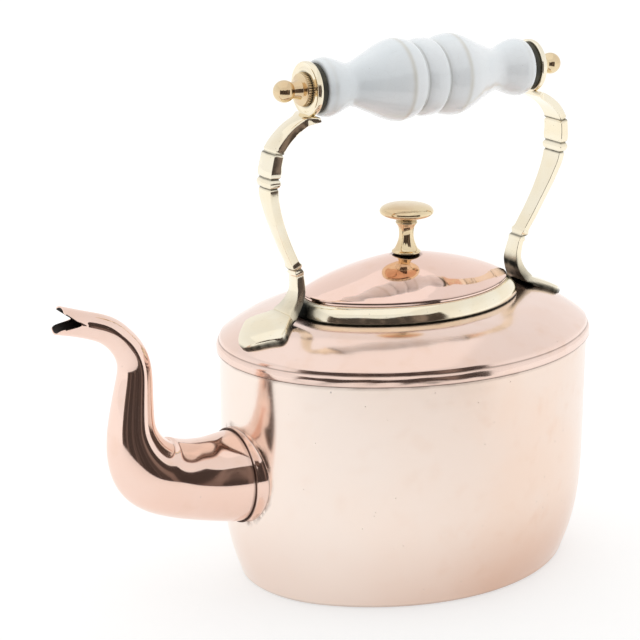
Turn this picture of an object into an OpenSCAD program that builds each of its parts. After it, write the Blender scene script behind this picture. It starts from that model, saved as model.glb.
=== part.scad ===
// Oval copper kettle with a lift-off lid, a swan-neck spout and a brass bail with a turned grip.
// Origin at the middle of the base, +Z up, spout towards -X. Every plan outline is a constant
// offset from one four-arc oval, the rim oval, so seams and collars stay parallel to each other.

/* [Body] */
// Length of the rim oval along X
rim_length = 212; // [176:1:256]
// Width of the rim oval along Y
rim_width = 169; // [140:1:204]
// Height of the lower edge of the seam band
seam_z = 125.2; // [104:0.2:151]
// Thickness of the copper sheet
sheet_t = 1.2; // [0.8:0.1:1.5]
// How far the wall draws in from seam to base before the tuck
wall_lean = 1; // [0:0.1:3]
// How far the foot of the wall tucks in
wall_tuck = 10.5; // [6:0.5:12]
// Height at which the tuck starts
tuck_z = 70; // [55:1:85]
// Outer radius of the corner between wall and base
base_corner_r = 3; // [2:0.1:4.5]
// Width of the wall's flange under the base plate
base_lap = 8; // [6:0.5:12]

/* [Shoulder] */
// Height of the seam band
band_h = 6.4; // [5:0.2:8]
// How far the band stands out beyond the rim oval
band_bulge = 0.8; // [0.3:0.1:1.2]
// Rise of the shoulder from the band to the lid ring
shoulder_rise = 13.4; // [10:0.2:17]
// Exponent of the shoulder's curve
shoulder_power = 2.3; // [1.7:0.1:2.8]

/* [Lid ring] */
// Distance of the ring's outer edge inside the rim oval
ring_inset = 39.5; // [34:0.5:44]
// Width of the ring's face
ring_face_w = 6; // [5:0.2:7]
// Height of the ring above the shoulder
ring_h = 8.5; // [7:0.2:10]
// Depth of the ring's neck below the shoulder's top
ring_neck_h = 5; // [3:0.5:7]
// Wall of the ring's neck
ring_wall = 1.4; // [1:0.1:2]

/* [Lid] */
// Gap between the lid's skirt and the ring's neck
lid_gap = 0.4; // [0.3:0.05:0.8]
// Depth of the lid's skirt
skirt_h = 11; // [8:0.5:14]
// Height of the dome above the lid's edge
dome_rise = 15.9; // [12:0.1:19]
// Exponent of the dome's curve
dome_power = 1.8; // [1.5:0.1:2.4]

/* [Knob] */
// Diameter of the knob's cap
knob_cap_d = 29; // [25:0.5:33]
// Diameter of the knob's foot
knob_foot_d = 15.6; // [13:0.2:19]
// Diameter of the knob's waist
knob_waist_d = 7.8; // [6:0.2:10]
// Height of the knob above the dome
knob_h = 27; // [23:0.5:29]
// Diameter of the knob's screwed stud
knob_stud_d = 4; // [3:0.2:5]

/* [Spout] */
// Height of the spout's root above the base
spout_root_z = 66; // [60:0.5:70]
// Radius of the spout where it meets the body
spout_root_r = 24.4; // [20:0.2:27]
// Thickness of the spout's wall
spout_wall = 1.2; // [0.8:0.1:1.6]
// How far the spout's root reaches inside the wall
spout_stub = 3; // [2:0.5:5]
// Thickness of the collar round the spout's root
collar_t = 0.9; // [0.7:0.1:1.4]
// Width of the collar's flange on the body
collar_flange_w = 1.4; // [1:0.1:4]
// Height of the collar's neck beyond the rim's end
collar_neck_h = 1; // [0.6:0.1:4]
// Soldered clearance round the spout's root
solder_gap = 0.05; // [0.02:0.01:0.1]
// Depth of the notch in the side of the beak
beak_notch_d = 13; // [8:0.5:16]

/* [Handle] */
// Height of the grip's axis above the base
grip_z = 267.2; // [240:0.2:290]
// How far the grip sits behind the middle of the body
handle_set_back = 8.6; // [0:0.2:12]
// Half of the distance between the outer faces of the eyes
eye_half_span = 71.7; // [66:0.1:78]
// Diameter of the eyes
eye_d = 28.6; // [24:0.2:32]
// Thickness of the eyes
eye_t = 3.2; // [2.5:0.1:5]
// Half-span of the straps where they bow out furthest
bow_half_span = 91.3; // [86:0.1:97]
// Width of the straps where they bow out
strap_w = 15; // [12:0.2:17]
// Width of the straps at their waist, above the knee
strap_waist_w = 9.6; // [8:0.2:12]
// Thickness of the straps
strap_t = 4.3; // [3.8:0.1:5]
// Width of the fan-shaped feet
foot_w = 38.6; // [30:0.2:42]
// Thickness of the fan-shaped feet
foot_t = 3; // [2.5:0.1:4]
// Distance of the foot's tip inside the rim oval
foot_inset = 4; // [2:0.5:8]
// Gap between the strap's knee and the lid ring
knee_gap = 0.6; // [0.3:0.1:2]

/* [Grip] */
// Radius of the grip's end bulbs
bulb_r = 15.4; // [13:0.2:17]
// Radius of the two crests beside the middle
crest_r = 21.6; // [18:0.2:24]
// Radius of the middle ring
middle_r = 20.4; // [17:0.2:23]
// Radius of the waists
waist_r = 11.4; // [10:0.2:13]
// Thickness of the washers at the grip's ends
grip_washer_t = 3.4; // [2:0.1:4.5]
// End play between grip and washers
grip_play = 0.3; // [0.2:0.05:0.5]
// Diameter of the rod through the grip
rod_d = 5; // [4:0.2:6]
// Radial running clearance of the grip on its rod
rod_gap = 0.08; // [0.04:0.01:0.1]
// Diameter of the ball nuts
ball_d = 11.6; // [10:0.2:13]
// Distance from an eye to the middle of its ball
ball_reach = 12.1; // [10:0.1:14]
// Diameter of the ball nuts' flanges
nut_flange_d = 17.2; // [15:0.2:20]

/* [Rivets] */
// Shank diameter of the foot rivets
rivet_d = 4; // [3:0.2:5]
// Diameter of the burrs under the shoulder
burr_d = 9; // [8:0.2:11]
// Thickness of the burrs
burr_t = 1; // [0.8:0.1:1.5]
// Depth of the rivets' shanks in the feet
rivet_bite = 2; // [1:0.1:3]

/* [Hidden] */
$fn = 96;
FRONT = -1;
REAR = 1;
eps = 0.01;
beyond = 400;

// The four-arc oval: two end arcs and two side arcs that meet with a common tangent. Their centres
// lie on a 20-21-29 triangle, so that every centre and radius is a short decimal number.
half_l = rim_length / 2;
oval_unit = round(100 * (half_l - rim_width / 2) / 12) / 100;
half_w = half_l - 12 * oval_unit;
end_c = 20 * oval_unit;
side_c = 21 * oval_unit;
end_r = half_l - end_c;
side_r = end_r + 29 * oval_unit;
join_angle = atan2(21, 20);

// Heights and insets that several pieces share.
band_step = 0.9;
band_top_z = seam_z + band_h;
shoulder_foot_z = band_top_z + 1.3;
ring_seat_z = shoulder_foot_z + shoulder_rise;
ring_top_z = ring_seat_z + ring_h;
neck_inset = ring_inset + ring_face_w;
ring_bore_inset = neck_inset + ring_wall;
lid_rest_gap = 0.2;
lid_z = ring_top_z + lid_rest_gap;
lid_sheet_t = 0.9;
lid_inset = ring_inset + ring_face_w - 0.4;
skirt_inset = ring_bore_inset + lid_gap;
dome_edge_h = 1.2;
dome_z = lid_z + lid_sheet_t;
dome_top_z = dome_z + dome_edge_h + dome_rise;
knob_seat_r = knob_foot_d / 2 + 0.6;
stud_bore_gap = 0.1;

// Rows of steps that sample the smooth curves.
curve_steps = 12;
spout_sides = 28;
dome_sides = 56;
dome_rings = 9;

function mix(a, b, t) = a + (b - a) * t;
function last(list) = list[len(list) - 1];

// Catmull-Rom curve through a list of points, with a few steps between neighbours.
function knot(list, i) = list[min(max(i, 0), len(list) - 1)];
function blend4(a, b, c, d, t) =
    0.5 * (2 * b + (c - a) * t + (2 * a - 5 * b + 4 * c - d) * t * t
           + (3 * b - a - 3 * c + d) * t * t * t);
function smooth_curve(list, steps) =
    concat([for (i = [0 : len(list) - 2]) for (s = [0 : steps - 1])
                blend4(knot(list, i - 1), list[i], knot(list, i + 1), knot(list, i + 2), s / steps)],
           [last(list)]);

// ---- Profiles: [offset from the rim oval, height] ----
function tuck_at(z) = wall_tuck * pow(max(0, (tuck_z - z) / tuck_z), 3);
function wall_offset(z) = -band_step - wall_lean * (seam_z - z) / seam_z - tuck_at(z);
corner_offset = wall_offset(base_corner_r) - base_corner_r;
function wall_side(inward, top) =
    [for (s = [0 : curve_steps]) let (z = mix(base_corner_r, top, pow(s / curve_steps, 1.6)))
        [wall_offset(min(z, seam_z)) - inward, z]];
function corner_arc(r) =
    [for (a = [-90 : 15 : -15]) [corner_offset + r * cos(a), base_corner_r + r * sin(a)]];

function shoulder_z(offset) =
    let (run = ring_inset - 1.5 - band_step,
         t = min(max((ring_inset - 1.5 + offset) / run, 0), 1))
    ring_seat_z - shoulder_rise * pow(t, shoulder_power);
shoulder_edge = [
    [-band_step, seam_z],
    [-0.1, seam_z],
    [0.25, seam_z + 0.6],
    [band_bulge, seam_z + 0.55 * band_h],
    [band_bulge - 0.15, seam_z + 0.8 * band_h],
    [0, band_top_z],
    [-band_step, shoulder_foot_z]];
shoulder_top = [for (s = [1 : curve_steps]) let (o = mix(-band_step, 1.5 - ring_inset, s / curve_steps))
    [o, shoulder_z(o)]];
band_inner_z = band_top_z - 1.1;
shoulder_inside = [for (s = [curve_steps : -1 : 1])
    let (o = mix(-band_step - sheet_t, 1.5 - ring_inset, s / curve_steps)) [o, shoulder_z(o) - sheet_t]];

// ---- The rim oval's sweeps and discs ----
function rounded(v) = round(1000 * v) / 1000;
module turned(r, profile) {
    rotate(180) rotate_extrude() polygon([for (p = profile) [rounded(max(0, r + p[0])), rounded(p[1])]]);
}
module wedge(corners) { translate([0, 0, -50]) linear_extrude(beyond) polygon(corners); }
module end_arc(profile) {
    intersection() {
        translate([end_c, 0, 0]) turned(end_r, profile);
        wedge([[end_c, 0], [end_c + 200, -210], [end_c + 200, 210]]);
    }
}
module side_arc(profile) {
    intersection() {
        translate([0, -side_c, 0]) turned(side_r, profile);
        wedge([[-end_c, 0], [end_c, 0], [end_c + 200, 210], [-end_c - 200, 210]]);
    }
}

// Sweeps a closed profile round an oval parallel to the rim. Offsets far inside fill the middle.
module oval_sweep(profile) {
    for (turn = [0, 180]) rotate(turn) {
        end_arc(profile);
        side_arc(profile);
    }
}

// Everything under the shoulder's outer surface, raised by an amount, for the feet of the straps.
module under_shoulder(raised) {
    oval_sweep(concat([[-beyond, seam_z], [-band_step, seam_z], [-band_step, shoulder_foot_z + raised]],
                      [for (p = shoulder_top) [p[0], p[1] + raised]],
                      [[-beyond, ring_seat_z + raised]]));
}

// Everything inside the wall's outer surface grown by an allowance, at the spout's end.
module inside_wall(grow) {
    rotate(180) end_arc(concat([[-beyond, 0]], [for (p = wall_side(0, band_inner_z)) [p[0] + grow, p[1]]],
                               [[-beyond, band_inner_z]]));
}

// ---- Body ----
module body_wall() {
    color([0.86, 0.60, 0.50]) difference() {
        oval_sweep(concat(
            [[corner_offset - base_lap, 0]],
            corner_arc(base_corner_r),
            wall_side(0, band_inner_z),
            [for (s = [curve_steps : -1 : 0]) wall_side(sheet_t, band_inner_z)[s]],
            [for (i = [5 : -1 : 0]) corner_arc(base_corner_r - sheet_t)[i]],
            [[corner_offset - base_lap, sheet_t]]));
        spout_axis(-half_l + end_c) cylinder(h = end_r + 10, r = spout_root_r + solder_gap);
    }
}

// The plate laps over the wall's flange and drops flush with it in the middle.
module base_plate() {
    lap_end = corner_offset - 0.6;
    joggle = corner_offset - base_lap;
    color([0.80, 0.54, 0.44]) oval_sweep([
        [-beyond, 0],
        [joggle - sheet_t - 0.2, 0],
        [joggle - 0.2, sheet_t],
        [lap_end, sheet_t],
        [lap_end, 2 * sheet_t],
        [joggle - sheet_t, 2 * sheet_t],
        [joggle - 2 * sheet_t - 0.2, sheet_t],
        [-beyond, sheet_t]]);
}

module shoulder() {
    color([0.90, 0.66, 0.57]) difference() {
        oval_sweep(concat(
            shoulder_edge,
            shoulder_top,
            [[-neck_inset, ring_seat_z], [-neck_inset, ring_seat_z - sheet_t]],
            shoulder_inside,
            [[-band_step - sheet_t, band_inner_z], [-band_step, band_inner_z]]));
        for (side = [FRONT, REAR]) foot_rivet_places(side)
            translate([0, 0, -10]) cylinder(h = 20, d = rivet_d + 2 * solder_gap, $fn = 32);
    }
}

module lid_ring() {
    color([0.88, 0.78, 0.52]) oval_sweep([
        [-ring_inset, ring_seat_z],
        [-ring_inset, ring_seat_z + 1],
        [-ring_inset - 0.5, ring_seat_z + 3.4],
        [-ring_inset - 1.5, ring_seat_z + 5.6],
        [-ring_inset - 3, ring_seat_z + 7.5],
        [-ring_inset - 4.8, ring_top_z],
        [-ring_bore_inset, ring_top_z],
        [-ring_bore_inset, ring_seat_z - ring_neck_h],
        [-neck_inset, ring_seat_z - ring_neck_h],
        [-neck_inset, ring_seat_z]]);
}

// ---- Spout ----
// Places things along the spout's root axis, which points away from the body.
module spout_axis(x) { translate([x, 0, spout_root_z]) rotate([0, -90, 0]) children(); }

// Stations of the swan neck: [distance out from the rim's end, height above the root, radius].
spout_stations = [
    [8, 0.4, spout_root_r - 0.8],
    [19.5, 1.5, 21.7],
    [33, 4.3, 20.6],
    [45.5, 9, 20.3],
    [51.5, 13.7, 19.2],
    [56.5, 21.8, 16.4],
    [59, 30.2, 13.9],
    [59.7, 38, 12.2],
    [58.8, 50, 10.8],
    [57.2, 65.7, 9],
    [58.1, 72.8, 8.3],
    [60.7, 78.8, 7.9],
    [65.3, 84.6, 7.4],
    [70.8, 89.5, 7.3],
    [77.2, 92.6, 7],
    [89.5, 96.6, 6.8],
    [98.5, 99.2, 7]];
spout_rings = smooth_curve(spout_stations, 2);
function heading(list, i) =
    let (a = knot(list, i - 1), b = knot(list, i + 1)) atan2(b[1] - a[1], b[0] - a[0]);

// One ring of the spout's tube, square to its centre line, inset by the wall or 0.
function spout_ring(i, inset) =
    let (s = spout_rings[i], h = i == 0 ? 0 : heading(spout_rings, i), r = s[2] - inset)
    [for (k = [0 : spout_sides - 1]) let (a = 360 * k / spout_sides)
        [-half_l - s[0] + r * cos(a) * sin(h), r * sin(a), spout_root_z + s[1] + r * cos(a) * cos(h)]];

module spout_tube(inset, reach) {
    n = len(spout_rings);
    h = heading(spout_rings, n - 1);
    tip = [for (p = spout_ring(n - 1, inset)) p + reach * [-cos(h), 0, sin(h)]];
    root = [for (p = spout_ring(0, inset)) p + [eps, 0, 0]];
    rings = concat([root], [for (i = [1 : n - 1]) spout_ring(i, inset)], reach > 0 ? [tip] : []);
    m = len(rings);
    points = [for (r = rings) for (p = r) p];
    sides = [for (i = [0 : m - 2]) for (k = [0 : spout_sides - 1])
        let (a = i * spout_sides + k, b = i * spout_sides + (k + 1) % spout_sides)
        for (t = [[a, a + spout_sides, b + spout_sides], [a, b + spout_sides, b]]) t];
    caps = [[for (k = [0 : spout_sides - 1]) k],
            [for (k = [spout_sides - 1 : -1 : 0]) (m - 1) * spout_sides + k]];
    polyhedron(points, concat(sides, caps));
}

// Straight root from inside the wall, then a taper to the size of the tube's first ring.
module spout_root(r_root, r_end, from) {
    straight_end = 2;
    spout_axis(from) cylinder(h = from + half_l + straight_end, r = r_root);
    spout_axis(-half_l - straight_end + eps)
        cylinder(h = spout_stations[0][0] - straight_end + 2 * eps, r1 = r_root, r2 = r_end);
}

module spout() {
    tube_r = spout_stations[0][2];
    stub_x = -half_l + sheet_t + end_r - sqrt(end_r * end_r - spout_root_r * spout_root_r) + spout_stub;
    tip = last(spout_rings);
    color([0.88, 0.58, 0.46]) difference() {
        union() {
            spout_root(spout_root_r, tube_r, stub_x);
            spout_tube(0, 0);
        }
        spout_root(spout_root_r - spout_wall, tube_r - spout_wall, stub_x + 1);
        spout_tube(spout_wall, 4);
        translate([-half_l - tip[0], 0, spout_root_z + tip[1]])
            rotate([0, heading(spout_rings, len(spout_rings) - 1), 0])
                across(60) polygon([[-1, -5.4], [beak_notch_d, 0.8], [-1, 5]]);
    }
}

// Flared copper collar: a flange that follows the wall and a neck up the spout.
module spout_collar() {
    neck_r = spout_root_r + solder_gap + collar_t;
    foot_x = -half_l + end_r - sqrt(end_r * end_r - pow(neck_r + collar_flange_w, 2));
    color([0.84, 0.56, 0.45]) difference() {
        union() {
            spout_axis(foot_x + 4) cylinder(h = 4 + foot_x + half_l + collar_neck_h, r = neck_r);
            intersection() {
                inside_wall(collar_t);
                spout_axis(foot_x + 6) cylinder(h = 60, r = neck_r + collar_flange_w);
            }
            spout_axis(-half_l + 2) cylinder(h = 2 + collar_neck_h, r1 = neck_r + 1, r2 = neck_r);
        }
        inside_wall(solder_gap);
        spout_axis(foot_x + 8) cylinder(h = 80, r = spout_root_r + solder_gap);
    }
}

// ---- Handle ----
// The straps lean so that their tops meet the set-back grip while their feet stay centred.
knee_z = ring_seat_z + 13.7;
lean_top_z = grip_z - 22;
knee_half_span = half_l - ring_inset + knee_gap + strap_t / 2;
function lean(z, side) =
    side * handle_set_back * min(max((z - ring_seat_z) / (lean_top_z - ring_seat_z), 0), 1);
eye_mid = eye_half_span - eye_t / 2;
eye_foot_z = grip_z - eye_d / 2;
foot_tip = half_l - foot_inset;
foot_run = foot_tip - knee_half_span;

// Middle line of a strap from the middle of its foot to its eye: [half-span, height].
bow_z = grip_z - 45;
function climb(share, up) = [mix(knee_half_span, bow_half_span, share), mix(knee_z, bow_z, up)];
function foot_mid_z(share) = shoulder_z(foot_run * share - foot_run - foot_inset) + foot_t - strap_t / 2;
strap_line = [
    [knee_half_span + 0.56 * foot_run, foot_mid_z(0.56)],
    [knee_half_span + 0.32 * foot_run, foot_mid_z(0.32) + 1.6],
    [knee_half_span + 0.13 * foot_run, knee_z - 9.4],
    [knee_half_span + 0.6, knee_z - 4.6],
    [knee_half_span, knee_z],
    climb(0.1, 0.19),
    climb(0.38, 0.385),
    climb(0.66, 0.58),
    climb(0.89, 0.77),
    [bow_half_span, bow_z],
    [bow_half_span - 0.6, grip_z - 37],
    [bow_half_span - 2.6, grip_z - 29.4],
    [bow_half_span - 6.4, grip_z - 23.6],
    [bow_half_span - 11.5, grip_z - 19],
    [eye_mid + 4.7, grip_z - 15.8],
    [eye_mid, eye_foot_z + 0.8]];

// Front view of a strap: [half-width, height].
strap_taper = [
    [strap_waist_w / 2 + 1.8, knee_z - 16],
    [strap_waist_w / 2 + 1.2, knee_z - 6],
    [strap_waist_w / 2 + 0.2, knee_z + 4],
    [strap_waist_w / 2, knee_z + 16],
    [strap_waist_w / 2 + 0.5, knee_z + 32],
    [strap_w / 2 - 1.2, bow_z - 12],
    [strap_w / 2 - 0.2, bow_z - 4],
    [strap_w / 2, bow_z + 8],
    [strap_w / 2 - 0.3, grip_z - 24],
    [strap_w / 2 - 0.7, grip_z]];

function strap_points(side) =
    [for (p = smooth_curve(strap_line, 3)) [side * (p[0] + lean(p[1], side)), p[1]]];
function strap_normal(list, i) =
    let (a = knot(list, i - 1), b = knot(list, i + 1), d = b - a) [-d[1], d[0]] / norm(d);
function strap_edge(list, by) =
    [for (i = [0 : len(list) - 1]) list[i] + by * strap_normal(list, i)];

module strap_side_view(side) {
    middle = strap_points(side);
    left = strap_edge(middle, strap_t / 2);
    right = strap_edge(middle, -strap_t / 2);
    n = len(middle) - 1;
    polygon(concat(left, [for (i = [n : -1 : 0]) right[i]]));
}
module strap_front_view() {
    half = smooth_curve(strap_taper, 2);
    n = len(half) - 1;
    polygon(concat(half, [for (i = [n : -1 : 0]) [-half[i][0], half[i][1]]]));
}

module across(width) { rotate([90, 0, 0]) linear_extrude(width, center = true) children(); }
module rod_hole(depth) { cylinder(h = depth, r = rod_d / 2 + solder_gap, center = true, $fn = 48); }
module along_grip(x) { translate([handle_set_back + x, 0, grip_z]) rotate([0, 90, 0]) children(); }

// Plan of a fan-shaped foot, from its root at the knee to its bowed tip.
module foot_plan(side) {
    outline = [[0.07, 0.16], [0.2, 0.27], [0.36, 0.39], [0.5, 0.47], [0.61, 0.5], [0.71, 0.465],
               [0.82, 0.36], [0.92, 0.22], [1, 0.04]];
    half = [for (p = outline) [knee_half_span + p[0] * foot_run, p[1] * foot_w]];
    n = len(half) - 1;
    polygon(concat([for (p = half) [side * p[0], p[1]]],
                   [for (i = [n : -1 : 0]) [side * half[i][0], -half[i][1]]]));
}

module bracket(side) {
    color([0.87, 0.76, 0.50]) difference() {
        union() {
            intersection() {
                across(2 * strap_w) strap_side_view(side);
                rotate([90, 0, 90]) linear_extrude(beyond, center = true) strap_front_view();
            }
            intersection() {
                under_shoulder(foot_t);
                linear_extrude(beyond) foot_plan(side);
            }
            along_grip(side * eye_mid) cylinder(h = eye_t, d = eye_d, center = true);
        }
        under_shoulder(0);
        along_grip(side * eye_mid) rod_hole(3 * eye_t);
        foot_rivet_places(side) translate([0, 0, -5])
            cylinder(h = 5 + rivet_bite + solder_gap, d = rivet_d + 2 * solder_gap, $fn = 32);
    }
}
module front_bracket() { bracket(FRONT); }
module rear_bracket() { bracket(REAR); }

// Two rivets side by side under each foot, square to the shoulder. Children stand on its surface.
rivet_spread = 0.24 * foot_w;
module foot_rivet_places(side) {
    run_in = 0.4 * foot_run;
    middle = -foot_inset - run_in;
    for (across = [-1, 1]) {
        swing = rivet_spread / (end_r + middle) * 180 / PI;
        slope = atan2(shoulder_z(middle - 0.5) - shoulder_z(middle + 0.5), 1);
        translate([side * end_c, 0, 0]) rotate([0, 0, side * across * swing])
            translate([side * (end_r + middle), 0, shoulder_z(middle)]) rotate([0, side * slope, 0])
                children();
    }
}
burr_gap = 0.3;
module foot_rivets(side) {
    head_h = 1.4;
    below = -sheet_t - burr_gap - burr_t - 0.05;
    color([0.80, 0.66, 0.42]) foot_rivet_places(side) {
        translate([0, 0, below]) cylinder(h = rivet_bite - below, d = rivet_d, $fn = 32);
        translate([0, 0, below - head_h]) cylinder(h = head_h, d1 = rivet_d, d2 = rivet_d + 2.4, $fn = 32);
    }
}
module front_rivets() { foot_rivets(FRONT); }
module rear_rivets() { foot_rivets(REAR); }

module foot_burrs(side) {
    color([0.78, 0.52, 0.42]) foot_rivet_places(side) translate([0, 0, -sheet_t - burr_gap - burr_t])
        difference() {
            cylinder(h = burr_t, d = burr_d, $fn = 48);
            translate([0, 0, -1]) cylinder(h = burr_t + 2, d = rivet_d + 2 * solder_gap, $fn = 32);
        }
}
module front_burrs() { foot_burrs(FRONT); }
module rear_burrs() { foot_burrs(REAR); }

// ---- Grip, its rod and its nuts ----
washer_half_span = eye_half_span - eye_t;
grip_half_l = washer_half_span - grip_washer_t - grip_play;

// Half of the turned grip: [distance from the middle, radius].
grip_profile = [
    [0, middle_r],
    [4.2, middle_r - 0.2],
    [6.2, middle_r - 1.8],
    [7.6, middle_r - 1.6],
    [10, middle_r + 0.1],
    [15, crest_r - 0.2],
    [17.5, crest_r],
    [21, crest_r - 0.9],
    [28, crest_r - 4.4],
    [36, waist_r + 2.5],
    [42, waist_r + 0.4],
    [46.5, waist_r],
    [50.5, waist_r + 1.2],
    [55, bulb_r - 1],
    [59, bulb_r],
    [62, bulb_r - 0.5],
    [grip_half_l, bulb_r - 2.6]];
grip_side = smooth_curve(grip_profile, 3);

module grip() {
    n = len(grip_side) - 1;
    color([0.93, 0.94, 0.95]) along_grip(0) rotate_extrude() polygon(concat(
        [for (i = [n : -1 : 1]) [grip_side[i][1], -grip_side[i][0]]],
        [for (i = [0 : n]) [grip_side[i][1], grip_side[i][0]]],
        [[rod_d / 2 + rod_gap, grip_half_l], [rod_d / 2 + rod_gap, -grip_half_l]]));
}

module grip_rod() {
    half = eye_half_span + ball_reach;
    color([0.75, 0.68, 0.48]) along_grip(0) cylinder(h = 2 * half, d = rod_d, center = true, $fn = 48);
}

// A blackened cup washer stands between the eye and the end of the grip.
module grip_washer(side) {
    color([0.16, 0.14, 0.10]) along_grip(side * (washer_half_span - grip_washer_t / 2)) difference() {
        cylinder(h = grip_washer_t, r = bulb_r - 2.4, center = true);
        rod_hole(3 * grip_washer_t);
    }
}
module front_grip_washer() { grip_washer(FRONT); }
module rear_grip_washer() { grip_washer(REAR); }

// Turned nut: bell flange, neck and ball, with a blind hole for the rod.
module ball_nut(side) {
    bore_end = ball_reach + 0.1;
    neck_r = 3.8;
    ball_r = ball_d / 2;
    neck_end = ball_reach - sqrt(ball_r * ball_r - neck_r * neck_r);
    ball_arc = [for (a = [asin(neck_r / ball_r) : (180 - asin(neck_r / ball_r)) / 16 : 179.9])
        [ball_r * sin(a), ball_reach - ball_r * cos(a)]];
    color([0.88, 0.77, 0.50]) along_grip(side * eye_half_span) rotate([side == FRONT ? 180 : 0, 0, 0])
        rotate_extrude() polygon(concat(
            [[rod_d / 2 + solder_gap, 0], [nut_flange_d / 2, 0], [nut_flange_d / 2, 2.8],
             [nut_flange_d / 2 - 0.9, 3.3], [nut_flange_d / 2 - 3, 4], [neck_r + 0.6, 5]],
            ball_arc,
            [[0, ball_reach + ball_r], [0, bore_end], [rod_d / 2 + solder_gap, bore_end]]));
}
module front_ball_nut() { ball_nut(FRONT); }
module rear_ball_nut() { ball_nut(REAR); }

// ---- Lid ----
// Point of the rim oval's parallel at a polar-like angle, used for the lid's smooth dome.
function oval_point(a, inset) =
    let (q = abs(a) > 90 ? 180 - abs(a) : abs(a), sx = abs(a) > 90 ? -1 : 1, sy = a < 0 ? -1 : 1,
         p = q <= join_angle
             ? [end_c + (end_r - inset) * cos(q), (end_r - inset) * sin(q)]
             : [(side_r - inset) * cos(q), (side_r - inset) * sin(q) - side_c])
    [sx * p[0], sy * p[1]];

// Ring of the dome at a share of the way from the knob's seat (0) to the edge (1).
function dome_ring(share, drop, inset) =
    let (z = dome_top_z - drop - dome_rise * pow(share, dome_power))
    [for (k = [0 : dome_sides - 1]) let (a = 360 * k / dome_sides - 180 + 180 / dome_sides,
                                         e = oval_point(a, inset), c = knob_seat_r * [cos(a), sin(a)])
        [mix(c[0], e[0], share), mix(c[1], e[1], share), z]];

function skin_sides(rings, sides) =
    [for (i = [0 : rings - 2]) for (k = [0 : sides - 1])
        let (a = i * sides + k, b = i * sides + (k + 1) % sides)
        for (t = [[a, b, b + sides], [a, b + sides, a + sides]]) t];

module dome_solid(drop, inset, foot_z) {
    top = [for (i = [0 : dome_rings]) dome_ring(i / dome_rings, drop, inset)];
    foot = [for (p = last(top)) [p[0], p[1], foot_z]];
    rings = concat(top, [foot]);
    m = len(rings);
    polyhedron([for (r = rings) for (p = r) p],
               concat(skin_sides(m, dome_sides),
                      [[for (k = [dome_sides - 1 : -1 : 0]) k]],
                      [[for (k = [0 : dome_sides - 1]) (m - 1) * dome_sides + k]]));
}

module lid_dome() {
    color([0.90, 0.62, 0.52]) difference() {
        dome_solid(0, lid_inset, dome_z);
        dome_solid(lid_sheet_t, lid_inset + sheet_t, dome_z - 1);
        cylinder(h = beyond, d = knob_stud_d + 2 * stud_bore_gap, $fn = 48);
    }
}

module lid_skirt() {
    color([0.84, 0.57, 0.47]) oval_sweep([
        [-lid_inset, lid_z],
        [-lid_inset, lid_z + lid_sheet_t],
        [-skirt_inset - lid_sheet_t, lid_z + lid_sheet_t],
        [-skirt_inset - lid_sheet_t, lid_z - skirt_h],
        [-skirt_inset, lid_z - skirt_h],
        [-skirt_inset, lid_z]]);
}

// ---- Knob, screwed through the lid ----
knob_washer_d = 13;
knob_washer_t = 1;
knob_nut_af = 8;
knob_nut_h = 3.2;
module lid_knob() {
    foot_r = knob_foot_d / 2;
    waist_r = knob_waist_d / 2;
    cap_r = knob_cap_d / 2;
    stud_end = -lid_sheet_t - knob_washer_t - knob_nut_h - 1.2;
    color([0.90, 0.80, 0.56]) translate([0, 0, dome_top_z]) rotate_extrude() polygon(concat(
        [[0, stud_end], [knob_stud_d / 2, stud_end], [knob_stud_d / 2, 0]],
        smooth_curve([[foot_r - 0.3, 0], [foot_r, 0.9], [foot_r - 0.7, 2.2], [foot_r - 2.2, 3.4],
                      [waist_r + 0.6, 6.6], [waist_r, 9.6], [waist_r + 0.5, knob_h - 12.5],
                      [waist_r + 2.2, knob_h - 8.6], [cap_r - 4.6, knob_h - 6.4],
                      [cap_r - 0.5, knob_h - 5.4], [cap_r, knob_h - 4.4], [cap_r - 0.6, knob_h - 3.3],
                      [cap_r - 3.4, knob_h - 1.7], [cap_r * 0.5, knob_h - 0.5], [0, knob_h]], 3)));
}

module knob_washer() {
    color([0.84, 0.74, 0.50]) translate([0, 0, dome_top_z - lid_sheet_t - knob_washer_t]) difference() {
        cylinder(h = knob_washer_t, d = knob_washer_d, $fn = 64);
        translate([0, 0, -1]) cylinder(h = knob_washer_t + 2, d = knob_stud_d + 2 * solder_gap, $fn = 48);
    }
}

module knob_nut() {
    color([0.82, 0.72, 0.48]) translate([0, 0, dome_top_z - lid_sheet_t - knob_washer_t - knob_nut_h])
        difference() {
            cylinder(h = knob_nut_h, d = knob_nut_af / cos(30), $fn = 6);
            translate([0, 0, -1]) cylinder(h = knob_nut_h + 2, d = knob_stud_d + 2 * solder_gap, $fn = 48);
        }
}

body_wall();
base_plate();
shoulder();
lid_ring();
spout();
spout_collar();
front_bracket();
rear_bracket();
front_rivets();
rear_rivets();
front_burrs();
rear_burrs();
grip_rod();
front_grip_washer();
rear_grip_washer();
front_ball_nut();
rear_ball_nut();
grip();
lid_dome();
lid_skirt();
lid_knob();
knob_washer();
knob_nut();
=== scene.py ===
"""Oval copper kettle with a domed lid, a swan-neck spout, brass straps and a porcelain grip.

Sizes inside the classes are in millimetres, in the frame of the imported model: origin at the middle of
the base, +X away from the spout, +Z up. Meshes are written in metres.
"""

from __future__ import annotations

import logging
import math
from dataclasses import dataclass, field
from enum import Enum
from typing import Callable, Iterable, Sequence

import bmesh
import bpy
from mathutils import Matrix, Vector, noise

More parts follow.
